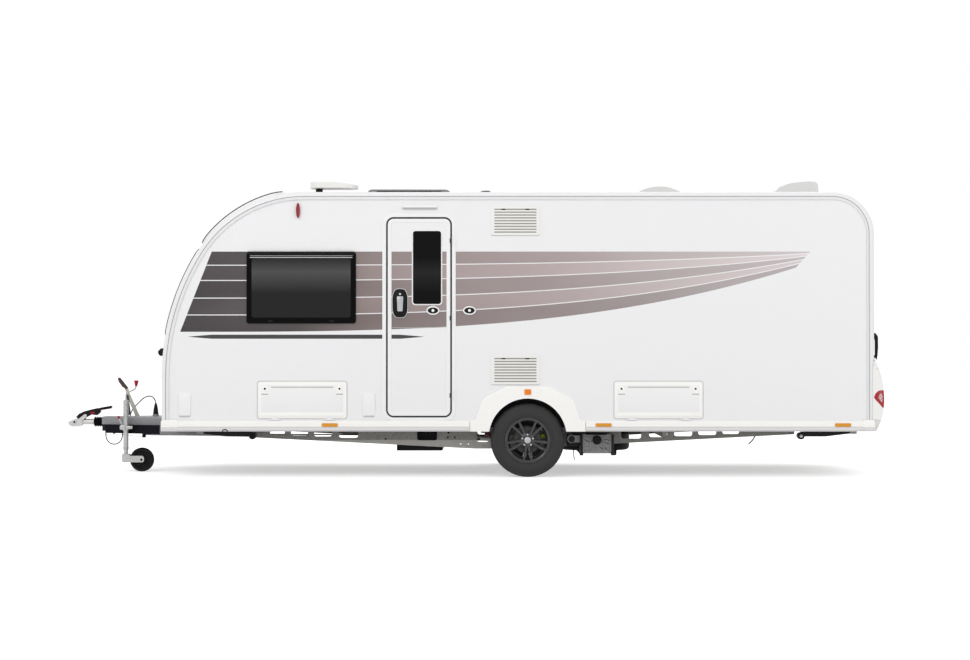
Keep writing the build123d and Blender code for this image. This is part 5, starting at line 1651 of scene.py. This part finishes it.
@dataclass
class RoadWheel:
    """Tyre with tread, twin-spoke alloy rim, bolts, cap and valve of one wheel."""

    name: str
    sign: int
    x: float = 0.567
    y: float = 1.000
    z: float = 0.325
    steps: int = 144
    tyre_half: Outline = (
        (0.185, 0.072), (0.199, 0.075), (0.2050, 0.0805), (0.2085, 0.0850), (0.213, 0.0855),
        (0.224, 0.0885), (0.226, 0.0900), (0.236, 0.0917), (0.258, 0.0925), (0.279, 0.0913),
        (0.281, 0.0901), (0.297, 0.0875), (0.299, 0.0889), (0.310, 0.0845), (0.317, 0.0775),
        (0.3205, 0.0705), (0.3215, 0.064), (0.3225, 0.052), (0.3155, 0.0508), (0.3155, 0.0440),
        (0.3240, 0.0428), (0.3247, 0.0215), (0.3165, 0.0203), (0.3165, 0.0125), (0.3248, 0.0113),
        (0.325, 0.0),
    )
    tyre_inside: Outline = (
        (0.190, -0.060), (0.250, -0.078), (0.300, -0.066), (0.308, 0.0), (0.300, 0.066),
        (0.250, 0.078), (0.190, 0.060),
    )
    block_steps: int = 3
    shoulder_r: float = 0.3185
    shoulder: Span = (0.053, 0.0800)
    shoulder_cut: Span = (0.0022, -0.0060)
    middle_r: float = 0.3235
    middle: Span = (0.022, 0.042)
    middle_cut: Span = (0.0030, -0.0050)
    barrel: Outline = (
        (0.2035, 0.0850), (0.2045, 0.0820), (0.2015, 0.0790), (0.1965, 0.0765), (0.1815, 0.0750),
        (0.1815, 0.040), (0.1655, 0.028), (0.1655, -0.030), (0.1815, -0.042), (0.1815, -0.075),
        (0.1955, -0.0755), (0.1965, -0.0835), (0.1885, -0.0835), (0.1755, -0.076),
        (0.1755, -0.044), (0.1600, -0.030), (0.1600, 0.028), (0.1745, 0.042), (0.1760, 0.0700),
        (0.1830, 0.0755), (0.1925, 0.0785), (0.1985, 0.0855),
    )
    hub: Outline = (
        (0.0, 0.060), (0.030, 0.060), (0.033, 0.0645), (0.044, 0.0650), (0.060, 0.0605),
        (0.0660, 0.0540), (0.0660, 0.026), (0.0, 0.026),
    )
    pairs: int = 5
    spread: float = 11.0
    flank: Outline = (
        (0.028, 0.040), (0.042, 0.184), (0.0745, 0.184), (0.0655, 0.150), (0.0590, 0.110),
        (0.0585, 0.075), (0.0630, 0.040),
    )
    spoke_half: float = 0.0105
    spoke_taper: Span = (1.12, 1.4)
    spoke_back: Span = (0.05, 1.3)
    cap: Outline = (
        (0.0, 0.0740), (0.012, 0.0735), (0.022, 0.0715), (0.0285, 0.0675), (0.0305, 0.062),
        (0.0305, 0.058), (0.0, 0.058),
    )
    bolts: int = 5
    bolt_ring: float = 0.049
    bolt_out: Span = (0.055, 0.0705)
    bolt_r: float = 0.0085
    valve_ring: float = 0.166
    valve_angle: float = 54.0
    valve_out: Span = (0.036, 0.068)
    valve_r: Span = (0.0055, 0.004)

    @property
    def body(self) -> str:
        """Body that carries the wheel."""
        return "wheel_" + self.name

    @property
    def centre(self) -> Point:
        """Middle of the wheel."""
        return self.x, self.sign * self.y, self.z

    @property
    def axis(self) -> Point:
        """Outward direction of the axle."""
        return 0.0, float(self.sign), 0.0

    def ends(self, ring: float, degrees: float, out: Span) -> Rod:
        """Ends of a small part that points outward from the wheel.

        Args:
            ring: its distance from the axle.
            degrees: its angle, from the rear upward.
            out: its span outward from the wheel's middle.

        Returns:
            Both end points.
        """
        turn = math.radians(degrees)
        x, z = self.x + ring * math.cos(turn), self.z + ring * math.sin(turn)
        low, high = (self.sign * (self.y + reach) for reach in out)
        return (x, low, z), (x, high, z)

    def tyre(self) -> None:
        """Tyre with ribbed tread, cross grooves and stepped sidewalls."""
        other_half = tuple((r, -a) for r, a in reversed(self.tyre_half[:-1]))
        ring = self.tyre_half + other_half + self.tyre_inside
        shape = Shape().lathe(ring, self.centre, self.axis, closed=True, steps=self.steps)
        bm = shape.bm
        bm.faces.ensure_lookup_table()
        shoulder, middle = [], []
        for face in bm.faces:
            spot = face.calc_center_median()
            x, z = spot.x - self.x, spot.z - self.z
            radius = math.hypot(x, z)
            across = abs(spot.y - self.sign * self.y)
            index = int((math.atan2(z, x) % math.tau) / math.tau * self.steps) % self.block_steps
            if radius > self.shoulder_r and within(across, self.shoulder) and index == 0:
                shoulder.append(face)
            elif radius > self.middle_r and within(across, self.middle) and index == 1:
                middle.append(face)
        for faces, (width, depth) in ((shoulder, self.shoulder_cut), (middle, self.middle_cut)):
            bmesh.ops.inset_individual(
                bm, faces=faces, thickness=width, depth=depth, use_even_offset=True)
        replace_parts(shape.piece("tyre_tread_" + self.name, TYRE, self.body), "tyre_" + self.name)

    def spoke(self, shape: Shape, angle: float) -> None:
        """Adds one bevelled spoke.

        Args:
            shape: the shape that takes it.
            angle: degrees from the top.
        """
        old = set(shape.bm.verts)
        verts = [shape.bm.verts.new((-self.spoke_half, self.sign * depth, radius))
                 for depth, radius in self.flank]
        face = shape.bm.faces.new(verts)
        pushed = bmesh.ops.extrude_face_region(shape.bm, geom=[face])["geom"]
        moved_verts = [g for g in pushed if isinstance(g, bmesh.types.BMVert)]
        bmesh.ops.translate(shape.bm, verts=moved_verts, vec=(2 * self.spoke_half, 0.0, 0.0))
        root = self.flank[0][1]
        for vert in verts + moved_verts:
            width = self.spoke_taper[0] - self.spoke_taper[1] * (vert.co.z - root)
            front = abs(vert.co.y) > self.spoke_back[0]
            vert.co.x *= width * (1.0 if front else self.spoke_back[1])
        fresh = [v for v in shape.bm.verts if v not in old]
        faces = {f for v in fresh for f in v.link_faces}
        bmesh.ops.recalc_face_normals(shape.bm, faces=list(faces))
        shape.soften(fresh, 0.0030)
        fresh = [v for v in shape.bm.verts if v not in old]
        shape.turn(fresh, angle, "Y", (0.0, 0.0, 0.0))
        bmesh.ops.translate(shape.bm, verts=fresh, vec=Vector(self.centre))

    def rim(self) -> None:
        """Alloy rim: barrel with rolled lip, hub and twin spokes."""
        shape = Shape()
        for pair in range(self.pairs):
            for lean in (-self.spread, self.spread):
                self.spoke(shape, 180.0 + pair * 360.0 / self.pairs + lean)
        shape.lathe(self.barrel, self.centre, self.axis, closed=True, steps=96)
        shape.lathe(self.hub, self.centre, self.axis, steps=72)
        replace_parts(shape.piece("rim_spokes_" + self.name, ALLOY, self.body), "rim_" + self.name)

    def hub_set(self) -> None:
        """Bright centre cap, wheel bolts and valve."""
        cap = Shape().lathe(self.cap, self.centre, self.axis, steps=48)
        cap.piece("hub_cap_" + self.name, SATIN, self.body)
        bolts = Shape()
        for bolt in range(self.bolts):
            ends = self.ends(self.bolt_ring, 90.0 + bolt * 360.0 / self.bolts, self.bolt_out)
            bolts.rod(*ends, self.bolt_r, sides=6, edge=0.0012)
        bolts.piece("wheel_bolts_" + self.name, ZINC, self.body)
        ends = self.ends(self.valve_ring, self.valve_angle, self.valve_out)
        valve = Shape().rod(*ends, *self.valve_r, sides=16, edge=0.001)
        valve.piece("valve_" + self.name, BLACK, self.body)

    def build(self) -> None:
        """Builds the whole wheel."""
        self.tyre()
        self.rim()
        self.hub_set()


@dataclass
class Mover:
    """Details of the wheel movers: ribs, casing lines, end plates, motor caps and rollers."""

    ribs_x: tuple[float, ...] = (1.066, 1.125, 1.185, 1.245, 1.304)
    ribs_tall: Span = (0.214, 0.352)
    ribs_z: tuple[float, ...] = (0.232, 0.262, 0.345)
    ribs_long: Span = (1.058, 1.312)
    cracks: tuple[Outline, ...] = (
        ((1.072, 0.224), (1.108, 0.230), (1.120, 0.222), (1.136, 0.240)),
        ((1.076, 0.326), (1.112, 0.306), (1.144, 0.312)),
        ((1.214, 0.256), (1.238, 0.240), (1.256, 0.252), (1.292, 0.222)),
        ((1.232, 0.300), (1.262, 0.330), (1.296, 0.318)),
        ((1.246, 0.300), (1.292, 0.288)),
    )
    crack_half: float = 0.0028
    crack_out: Span = (0.940, 0.9462)
    plates_x: Span = (1.040, 1.318)
    top_plate: Box = ((1.09, 1.27), (-0.955, -0.80), (0.366, 0.380))
    motor: Box = ((0.9225, 1.0435), (-0.9075, -0.790), (0.2665, 0.3735))
    fins_x: tuple[float, ...] = (0.940, 0.960, 0.980, 1.000, 1.020)
    cable: Rod = ((0.975, -0.860, 0.270), (0.988, -0.860, 0.139))
    cable_r: float = 0.0040
    cap: Outline = (
        (0.0, 0.010), (0.018, 0.010), (0.021, 0.014), (0.030, 0.014), (0.036, 0.011),
        (0.040, 0.006), (0.040, 0.0), (0.0, 0.0),
    )
    cap_spot: Point = (1.185, -0.955, 0.322)
    roller: Span = (0.954, 0.336)
    roller_ribs: int = 16
    roller_r: float = 0.0335
    roller_out: Span = (1.076, 0.918)
    end_r: float = 0.0305
    end_out: Span = (1.078, 1.085)

    def casing(self) -> None:
        """Ribs and dark lines on the casing."""
        ribs = Shape()
        for x in self.ribs_x:
            ribs.block(about(x, 0.005), (-0.957, -0.940), self.ribs_tall, 0.002)
        for z in self.ribs_z:
            ribs.block(self.ribs_long, (-0.954, -0.940), about(z, 0.004), 0.002)
        ribs.both_sides().piece("mover_ribs", CASTING)
        lines = Shape()
        for route in self.cracks:
            for start, end in zip(route, route[1:]):
                way = (Vector(end) - Vector(start)).normalized() * self.crack_half
                left, right = (-way.y, way.x), (way.y, -way.x)
                outline = placed((start, end), left) + placed((end, start), right)
                lines.sheet(Side.NEAR, outline, self.crack_out)
        lines.both_sides().piece("mover_casing_lines", BLACK)

    def plates(self) -> None:
        """End plates, motor with its fins, cable and motor cap."""
        plates = Shape()
        for x in self.plates_x:
            plates.block(on(x, -0.004, 0.016), (-0.962, -0.800), (0.190, 0.368), 0.006)
            plates.block(on(x, -0.010, 0.022), (-0.966, -0.930), (0.185, 0.214), 0.006)
        for box in (self.top_plate, self.motor):
            plates.block(*box, 0.004)
        for x in self.fins_x:
            plates.block(about(x, 0.003), (-0.915, -0.900), (0.272, 0.368), 0.001)
        plates.rod(*self.cable, self.cable_r, sides=12)
        plates.both_sides().piece("mover_end_plates", DARK_STEEL)
        cap = Shape().lathe(self.cap, self.cap_spot, (0.0, -1.0, 0.0), steps=48)
        cap.both_sides().piece("mover_motor_caps", BLACK)

    def rollers(self) -> None:
        """Ribs and ends of the drive rollers."""
        ribs = Shape()
        for step in range(self.roller_ribs):
            turn = math.tau * step / self.roller_ribs
            arm = self.roller_r * math.cos(turn), self.roller_r * math.sin(turn)
            ribs.pin(placed((arm,), self.roller)[0], self.roller_out, 0.0032)
        ribs.both_sides().piece("mover_roller_ribs", CASTING)
        ends = Shape().disc(Side.NEAR, self.roller, self.end_r, self.end_out, 0.002)
        ends.pin(self.roller, (1.084, 1.090), 0.009, edge=0.001)
        ends.both_sides().piece("mover_roller_ends", BLACK)

    def build(self) -> None:
        """Builds all of it."""
        self.casing()
        self.plates()
        self.rollers()


@dataclass
class RunningGear:
    """Small pieces on the chassis: rail bolts, damper bushes, brake plugs, drain, guide eye."""

    rail_face: float = 0.785
    bolt_out: Span = (-0.001, 0.0065)
    bolt_r: float = 0.0095
    bolts: Outline = (
        (-0.024, 0.281), (0.044, 0.281), (0.28, 0.405), (0.70, 0.405), (2.60, 0.400), (2.72, 0.402),
    )
    dark_bolts: Outline = (
        (-0.698, 0.325), (-0.141, 0.3375), (-0.135, 0.379), (-0.078, 0.3375),
    )
    bush: Box = ((0.188, 0.238), (-0.836, -0.786), (0.343, 0.383))
    drain: Route = (
        (2.690, -0.300, 0.436), (2.690, -0.300, 0.390), (2.682, -0.300, 0.345),
        (2.664, -0.300, 0.305), (2.640, -0.300, 0.275), (2.617, -0.300, 0.256),
    )
    drain_r: float = 0.0065
    eye: Route = (
        (-2.1095, -1.1335, 0.402), (-2.1095, -1.1375, 0.410), (-2.103, -1.1395, 0.419),
        (-2.0885, -1.1395, 0.4245), (-2.074, -1.1395, 0.419), (-2.0675, -1.1375, 0.410),
        (-2.0675, -1.1335, 0.402),
    )
    eye_r: float = 0.0042
    ears: Box = ((0.640, 0.724), (-0.892, -0.874), (0.334, 0.370))
    plug: Span = (0.706, 0.352)
    plug_out: Span = (0.888, 0.920)
    plug_r: Span = (0.021, 0.018)

    def build(self) -> None:
        """Builds all of it."""
        sets = (("rail_bolts", self.bolts, BRIGHT), ("rail_dark_bolts", self.dark_bolts, BLACK))
        for name, spots, finish in sets:
            bolts = Shape()
            for spot in spots:
                bolts.pin(spot, on(self.rail_face, *self.bolt_out), self.bolt_r, edge=0.0012)
            bolts.both_sides().piece(name, finish)
        Shape().block(*self.bush, 0.010, 3).both_sides().piece("damper_bushes", MAROON)
        bent_rod("drain_pipe", self.drain, self.drain_r, GREY)
        bent_rod("steady_guide_eye", self.eye, self.eye_r, BLACK)
        Shape().block(*self.ears, 0.004).both_sides().piece("brake_plug_ears", IRON)
        plug = Shape().pin(self.plug, self.plug_out, *self.plug_r, sides=24, edge=0.003)
        plug.both_sides().piece("brake_plugs", LIME)


@dataclass
class Hitch:
    """Coupling grip and marker, hand brake button, brake rod, jockey crank and clamp."""

    grip: Outline = (
        (-3.402, 0.5820), (-3.304, 0.5985), (-3.304, 0.5775), (-3.398, 0.5625),
    )
    grip_half: float = 0.0222
    grip_line: Outline = (
        (-3.392, 0.5640), (-3.298, 0.5790), (-3.296, 0.5985), (-3.306, 0.5980), (-3.308, 0.5720),
        (-3.392, 0.5580),
    )
    line_half: float = 0.0205
    marker_x: Span = (-3.497, -3.455)
    marker_z: Span = (0.524, 0.5425)
    marker_half: float = 0.0224
    pad_bolt: Span = (-3.640, 0.448)
    brake_rod: Rod = ((-2.990, 0.0, 0.3285), (-1.950, 0.0, 0.314))
    button: Rod = ((-3.2290, 0.0, 0.8460), (-3.2385, 0.0, 0.8587))
    strip: Rod = ((-3.1905, -0.004, 0.7700), (-3.2330, -0.004, 0.8265))
    crank: Route = (
        (-3.121, -0.246, 0.645), (-3.121, -0.246, 0.700), (-3.117, -0.246, 0.722),
        (-3.090, -0.246, 0.736), (-3.055, -0.246, 0.750), (-3.036, -0.246, 0.762),
        (-3.030, -0.246, 0.785), (-3.028, -0.246, 0.800),
    )
    crank_r: float = 0.0068
    knob: Outline = (
        (0.0, 0.0), (0.008, 0.0), (0.0105, 0.006), (0.0200, 0.044), (0.0205, 0.050),
        (0.0180, 0.055), (0.0, 0.056),
    )
    knob_spot: Point = (-3.0285, -0.246, 0.784)
    knob_way: Point = (0.05, 0.0, 1.0)
    clamp: Box = ((-3.171, -3.121), (-0.292, -0.262), (0.386, 0.426))
    clamp_tail: Box = ((-3.121, -3.054), (-0.288, -0.270), (0.392, 0.420))
    clamp_nut: Span = (-3.072, 0.406)
    clamp_pivot: Span = (-3.156, 0.406)
    clamp_tip: Rod = ((-3.1765, -0.2785, 0.488), (-3.1866, -0.2803, 0.5115))
    tube: Span = (-3.121, -0.246)
    tube_top: float = 0.645
    tube_cap: Outline = (
        (0.0, 0.014), (0.018, 0.014), (0.0255, 0.006), (0.0255, -0.030), (0.0, -0.030),
    )
    tube_ring: Outline = (
        (0.0238, -0.004), (0.0262, -0.0025), (0.0262, 0.0025), (0.0238, 0.004),
    )
    tube_rings: Span = (0.206, 0.222)
    wheel: Span = (-2.971, 0.110)
    axle: Span = (0.2945, 0.1975)
    wheel_ribs: int = 6
    rib_start: float = 0.26
    rib_y: Span = (-0.2600, -0.2320)
    rib_reach: Span = (0.038, 0.083)
    knobs: tuple[tuple[Point, Point, float, float], ...] = (
        ((-3.319, -0.030, 0.368), (-3.319, -0.030, 0.346), 0.0095, 0.008),
        ((-3.272, -0.030, 0.368), (-3.272, -0.030, 0.338), 0.0085, 0.0105),
    )

    def coupling(self) -> None:
        """Handle with black grip, red line and marker, and the pad bolts."""
        grip = Shape().sheet(Side.NEAR, self.grip, about(0.0, self.grip_half), 0.003, 0.003)
        grip.piece("coupling_grip", BLACK)
        line = Shape().sheet(Side.NEAR, self.grip_line, about(0.0, self.line_half), edge=0.001)
        line.piece("coupling_grip_line", RED)
        marker = Shape().plate(
            Side.NEAR, self.marker_x, self.marker_z, about(0.0, self.marker_half), 0.007, 0.002)
        marker.piece("coupling_marker", RED)
        pads = Shape().pin(self.pad_bolt, (0.045, 0.0485), 0.0105, sides=24, edge=0.001)
        pads.both_sides().piece("coupling_pad_bolts", BLACK)

    def brake_lever(self) -> None:
        """Rod to the brakes, and red button and strip on the hand brake's grip."""
        Shape().rod(*self.brake_rod, 0.0080, sides=20).piece("brake_rod", BRIGHT)
        button = Shape().rod(*self.button, 0.0100, tip=0.0085, sides=24, edge=0.002)
        button.piece("brake_button", RED)
        strip = Shape().rod(*self.strip, 0.0045, sides=16, edge=0.002)
        strip.piece("brake_release_strip", RED)

    def jockey(self) -> None:
        """Crank with red knob, red clamp tip, tube cap, axle nuts and clamp."""
        crank = bent_rod("jockey_crank_bar", self.crank, self.crank_r, ZINC)
        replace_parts(crank, "jockey_crank")
        knob = Shape().lathe(self.knob, self.knob_spot, self.knob_way, steps=40)
        knob.piece("jockey_knob", RED)
        tip = Shape().rod(*self.clamp_tip, 0.0112, tip=0.0100, sides=24, edge=0.003)
        tip.piece("jockey_clamp_tip", RED)
        cap = Shape().lathe(self.tube_cap, (*self.tube, self.tube_top), UP, steps=40)
        cap.piece("jockey_tube_cap", ZINC)
        nuts = Shape().pin(self.wheel, self.axle, 0.0125, edge=0.002)
        nuts.piece("jockey_axle_nuts", BLACK, "jockey_swivel")
        clamp = Shape().block(*self.clamp, 0.006).block(*self.clamp_tail, 0.005)
        clamp.pin(self.clamp_nut, (0.286, 0.298), 0.0115, edge=0.0015)
        clamp.pin(self.clamp_pivot, (0.290, 0.299), 0.0095, sides=24, edge=0.0015)
        clamp.piece("jockey_clamp_casting", ZINC)

    def jockey_rings(self) -> None:
        """Ribs of the jockey wheel, rings of its tube and knobs below the drawbar."""
        ribs = Shape()
        x, z = self.wheel
        for step in range(self.wheel_ribs):
            turn = math.tau * step / self.wheel_ribs + self.rib_start
            way = Vector((math.cos(turn), 0.0, math.sin(turn)))
            for y in self.rib_y:
                ends = (tuple(Vector((x, y, z)) + way * reach) for reach in self.rib_reach)
                ribs.rod(*ends, 0.0075, tip=0.0055, sides=12, edge=0.001)
        ribs.piece("jockey_wheel_ribs", RUBBER, "jockey_roller")
        rings = Shape()
        for height in self.tube_rings:
            rings.lathe(self.tube_ring, (*self.tube, height), UP, closed=True, steps=40)
        rings.piece("jockey_tube_rings", ZINC)
        knobs = Shape()
        for knob in self.knobs:
            knobs.rod(*knob, sides=20, edge=0.002)
        knobs.piece("drawbar_knobs", BLACK)

    def build(self) -> None:
        """Builds the hitch details."""
        self.coupling()
        self.brake_lever()
        self.jockey()
        self.jockey_rings()


@dataclass(frozen=True)
class SideSheet:
    """Thin plates on both sides of the tail, as outlines of X and Z."""

    name: str
    finish: Finish
    out: Span
    outlines: tuple[Outline, ...]
    corner: float = 0.0
    edge: float = 0.0

    def build(self) -> None:
        """Builds the plates as one piece."""
        shape = Shape()
        for outline in self.outlines:
            shape.sheet(Side.NEAR, outline, skin(*self.out), self.corner, self.edge)
        shape.both_sides().piece(self.name, self.finish)


TAIL_SHEETS = (
    SideSheet("tail_lamp_skin", RED_LENS, (-0.004, 0.0008), (
        ((3.606, 0.702), (3.620, 0.738), (3.648, 0.763), (3.678, 0.765), (3.690, 0.700),
         (3.688, 0.640), (3.684, 0.612), (3.660, 0.640), (3.625, 0.676)),
    ), corner=0.006, edge=0.0004),
    SideSheet("tail_lamp_inner_lens", CLEAR, (-0.004, 0.0016), (
        ((3.645, 0.702), (3.660, 0.734), (3.679, 0.735), (3.683, 0.690), (3.676, 0.656)),
    ), corner=0.006, edge=0.0004),
    SideSheet("tail_lamp_bars", RED_LENS, (0.0, 0.0022), (
        ((3.652, 0.700), (3.656, 0.698), (3.680, 0.728), (3.676, 0.730)),
        ((3.664, 0.680), (3.668, 0.678), (3.682, 0.700), (3.680, 0.704)),
    )),
    SideSheet("bumper_side_seams", SEAM, (-0.003, 0.0005), (
        ((3.6165, 0.9515), (3.6505, 0.9515), (3.6505, 0.9545), (3.6165, 0.9545)),
        ((3.6165, 0.5095), (3.658, 0.4985), (3.658, 0.5020), (3.6165, 0.5130)),
    )),
    SideSheet("bumper_top_fillers", BUMPER, (-0.030, -0.003), (
        ((3.604, 0.966), (3.6195, 0.966), (3.6195, 1.022), (3.604, 1.022)),
    )),
)


@dataclass
class EndFittings:
    """Rear plate, reflectors, lamps and seams, painted shadow lines along the rails, front lid
    locks, grips and hubs.
    """

    rear: float = 3.616
    plate_half: float = 0.260
    plate_z: Span = (1.131, 1.241)
    frame_half: float = 0.275
    frame_z: Span = (1.120, 1.252)
    plate_lamps: Span = (-0.17, 0.17)
    plate_lamp_half: float = 0.035
    plate_lamp_z: Span = (1.262, 1.286)
    brake_lamp_half: float = 0.17
    brake_lamp_z: Span = (2.080, 2.116)
    reflectors: Outline = ((-0.800, 0.690), (0.800, 0.690))
    reflector_r: float = 0.034
    reflector_out: Span = (3.694, 3.703)
    seam_x: float = 3.6514
    seam_half: float = 1.106
    seam_z: float = 0.953
    rail_face: float = 1.132
    # The grey line along the rails is painted shadow; lip sets how far it lies inside the nose
    # profile.
    lip: float = 0.0435
    shadow_line_half: float = 0.0025
    shadow_line_low: float = 0.500
    nose_steps: range = range(0, 91, 2)
    tail_steps: range = range(90, -1, -6)
    tail_middle: Span = (3.246, 2.141)
    tail_half: Span = (0.318, 0.3265)
    lid_locks: Span = (-0.44, 0.44)
    lid_lock_z: float = 0.740
    lid_lock_r: float = 0.032
    lid_key_z: float = 0.742
    lid_key_r: float = 0.0095
    pull_half: float = 0.20
    pull_z: Span = (0.716, 0.732)
    front_grip: Outline = (
        (-2.676, 1.137), (-2.666, 1.132), (-2.6665, 1.098), (-2.674, 1.068), (-2.686, 1.066),
        (-2.703, 1.088), (-2.7045, 1.108), (-2.692, 1.122),
    )
    front_grip_y: Span = (0.790, 0.972)
    rear_grip: Outline = (
        (3.634, 1.272), (3.652, 1.268), (3.6725, 1.240), (3.6735, 1.140), (3.668, 1.070),
        (3.660, 1.032), (3.653, 1.060), (3.649, 1.140), (3.648, 1.205), (3.634, 1.245),
    )
    rear_grip_y: Span = (0.9455, 0.9745)
    hubs: tuple[tuple[str, float, Finish], ...] = (("front", -1.875, BLACK), ("rear", 3.000, ZINC))
    hub_z: float = 0.356
    hub_out: tuple[float, ...] = (0.921, 0.9265, 0.926, 0.9325)

    def rear_set(self) -> None:
        """Blank plate in its frame, plate lamps, brake lamp, reflectors and bumper seam."""
        holder = Shape().plate(
            Side.REAR, about(0.0, self.frame_half), self.frame_z, on(self.rear, -0.002, 0.010),
            0.012, 0.003)
        holder.piece("plate_frame", BLACK)
        plate = Shape().plate(
            Side.REAR, about(0.0, self.plate_half), self.plate_z, on(self.rear, 0.008, 0.0125),
            0.008, 0.001)
        plate.piece("blank_plate", PLATE)
        lamps = Shape()
        for y in self.plate_lamps:
            lamps.block(
                on(self.rear, 0.0, 0.030), about(y, self.plate_lamp_half), self.plate_lamp_z, 0.005)
        lamps.piece("plate_lamps", BLACK)
        brake = Shape().plate(
            Side.REAR, about(0.0, self.brake_lamp_half), self.brake_lamp_z,
            on(self.rear, -0.002, 0.012), 0.014, 0.004)
        brake.piece("high_brake_lamp", RED_LENS)
        discs = Shape()
        for spot in self.reflectors:
            discs.disc(Side.REAR, spot, self.reflector_r, self.reflector_out, 0.002)
        discs.piece("rear_reflectors", RED_LENS)
        seam = Shape().block(
            on(self.seam_x, -0.010, 0.0006), about(0.0, self.seam_half), about(self.seam_z, 0.002))
        seam.piece("bumper_seam", SEAM)
        for sheet in TAIL_SHEETS:
            sheet.build()

    def edge_lines(self) -> None:
        """Thin grey line of painted shadow along the side rails' outer edge, from the nose over the
        roof to the tail.
        """
        nose, paths = FrontGlazing(), []
        for half in (self.shadow_line_half, -self.shadow_line_half):
            path = [nose.at(angle, half - self.lip) for angle in self.nose_steps]
            for angle in self.tail_steps:
                turn = math.radians(angle)
                ways = math.cos(turn), math.sin(turn)
                path.append(tuple(middle + (reach + half) * way for middle, reach, way
                                  in zip(self.tail_middle, self.tail_half, ways)))
            paths.append([(path[0][0], self.shadow_line_low), *path, (path[-1][0], self.shadow_line_low)])
        line = Shape().sheet(
            Side.NEAR, paths[0] + paths[1][::-1], (SIDE_Y - 0.004, self.rail_face + 0.0006))
        line.both_sides().piece("edge_rail_shadow_lines", GREY)

    def front_set(self) -> None:
        """Locks and finger pull of the front locker lid."""
        locks, keys = Shape(), Shape()
        for y in self.lid_locks:
            locks.disc(Side.FRONT, (y, self.lid_lock_z), self.lid_lock_r, (2.650, 2.661), 0.003)
            keys.disc(Side.FRONT, (y, self.lid_key_z), self.lid_key_r, (2.659, 2.6618), 0.001)
        locks.plate(
            Side.FRONT, about(0.0, self.pull_half), self.pull_z, (2.650, 2.662), 0.007, 0.003)
        locks.piece("gas_lid_locks", WHITE, "gas_lid")
        keys.piece("gas_lid_keyholes", BLACK, "gas_lid")

    def grips(self) -> None:
        """Shaped grips over the grab handles, front and rear."""
        shape = Shape().sheet(Side.NEAR, self.front_grip, self.front_grip_y, 0.006, 0.003)
        shape.sheet(Side.NEAR, self.rear_grip, self.rear_grip_y, 0.004, 0.003)
        shape.both_sides().piece("grab_grips", BLACK)

    def pads(self) -> None:
        """Hubs on the pads of the corner steadies."""
        for end, x, finish in self.hubs:
            for side, sign in (("near", -1), ("off", 1)):
                spots = [(x, sign * out, self.hub_z) for out in self.hub_out]
                hub = Shape().rod(*spots[:2], 0.017, tip=0.014, sides=24, edge=0.002)
                hub.rod(*spots[2:], 0.008, sides=6, edge=0.001)
                hub.piece(f"steady_hub_{end}_{side}", finish, f"steady_leg_{end}_{side}")

    def build(self) -> None:
        """Builds all of it."""
        self.rear_set()
        self.edge_lines()
        self.front_set()
        self.grips()
        self.pads()


def dress_nodes() -> None:
    """Gives every CAD node its finish."""
    for finish, names in NODE_FINISHES.items():
        for name in names:
            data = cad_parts[name].data
            data.materials.clear()
            data.materials.append(finish.material())


def main() -> None:
    """Builds the scene in order."""
    logging.basicConfig(level=logging.INFO, format="%(message)s")
    bpy.context.scene.view_settings.view_transform = "Standard"
    Studio().build()
    HitchLeads().build()
    dress_nodes()
    EntranceDoor().build()
    SideWindows().build()
    FrontGlazing().build()
    Lockers().build()
    WallFittings().build()
    Skirting().build()
    RoofSet().build()
    RoadWheel("near", -1).build()
    RoadWheel("off", 1).build()
    Mover().build()
    RunningGear().build()
    Hitch().build()
    EndFittings().build()


if __name__ == "__main__":
    main()
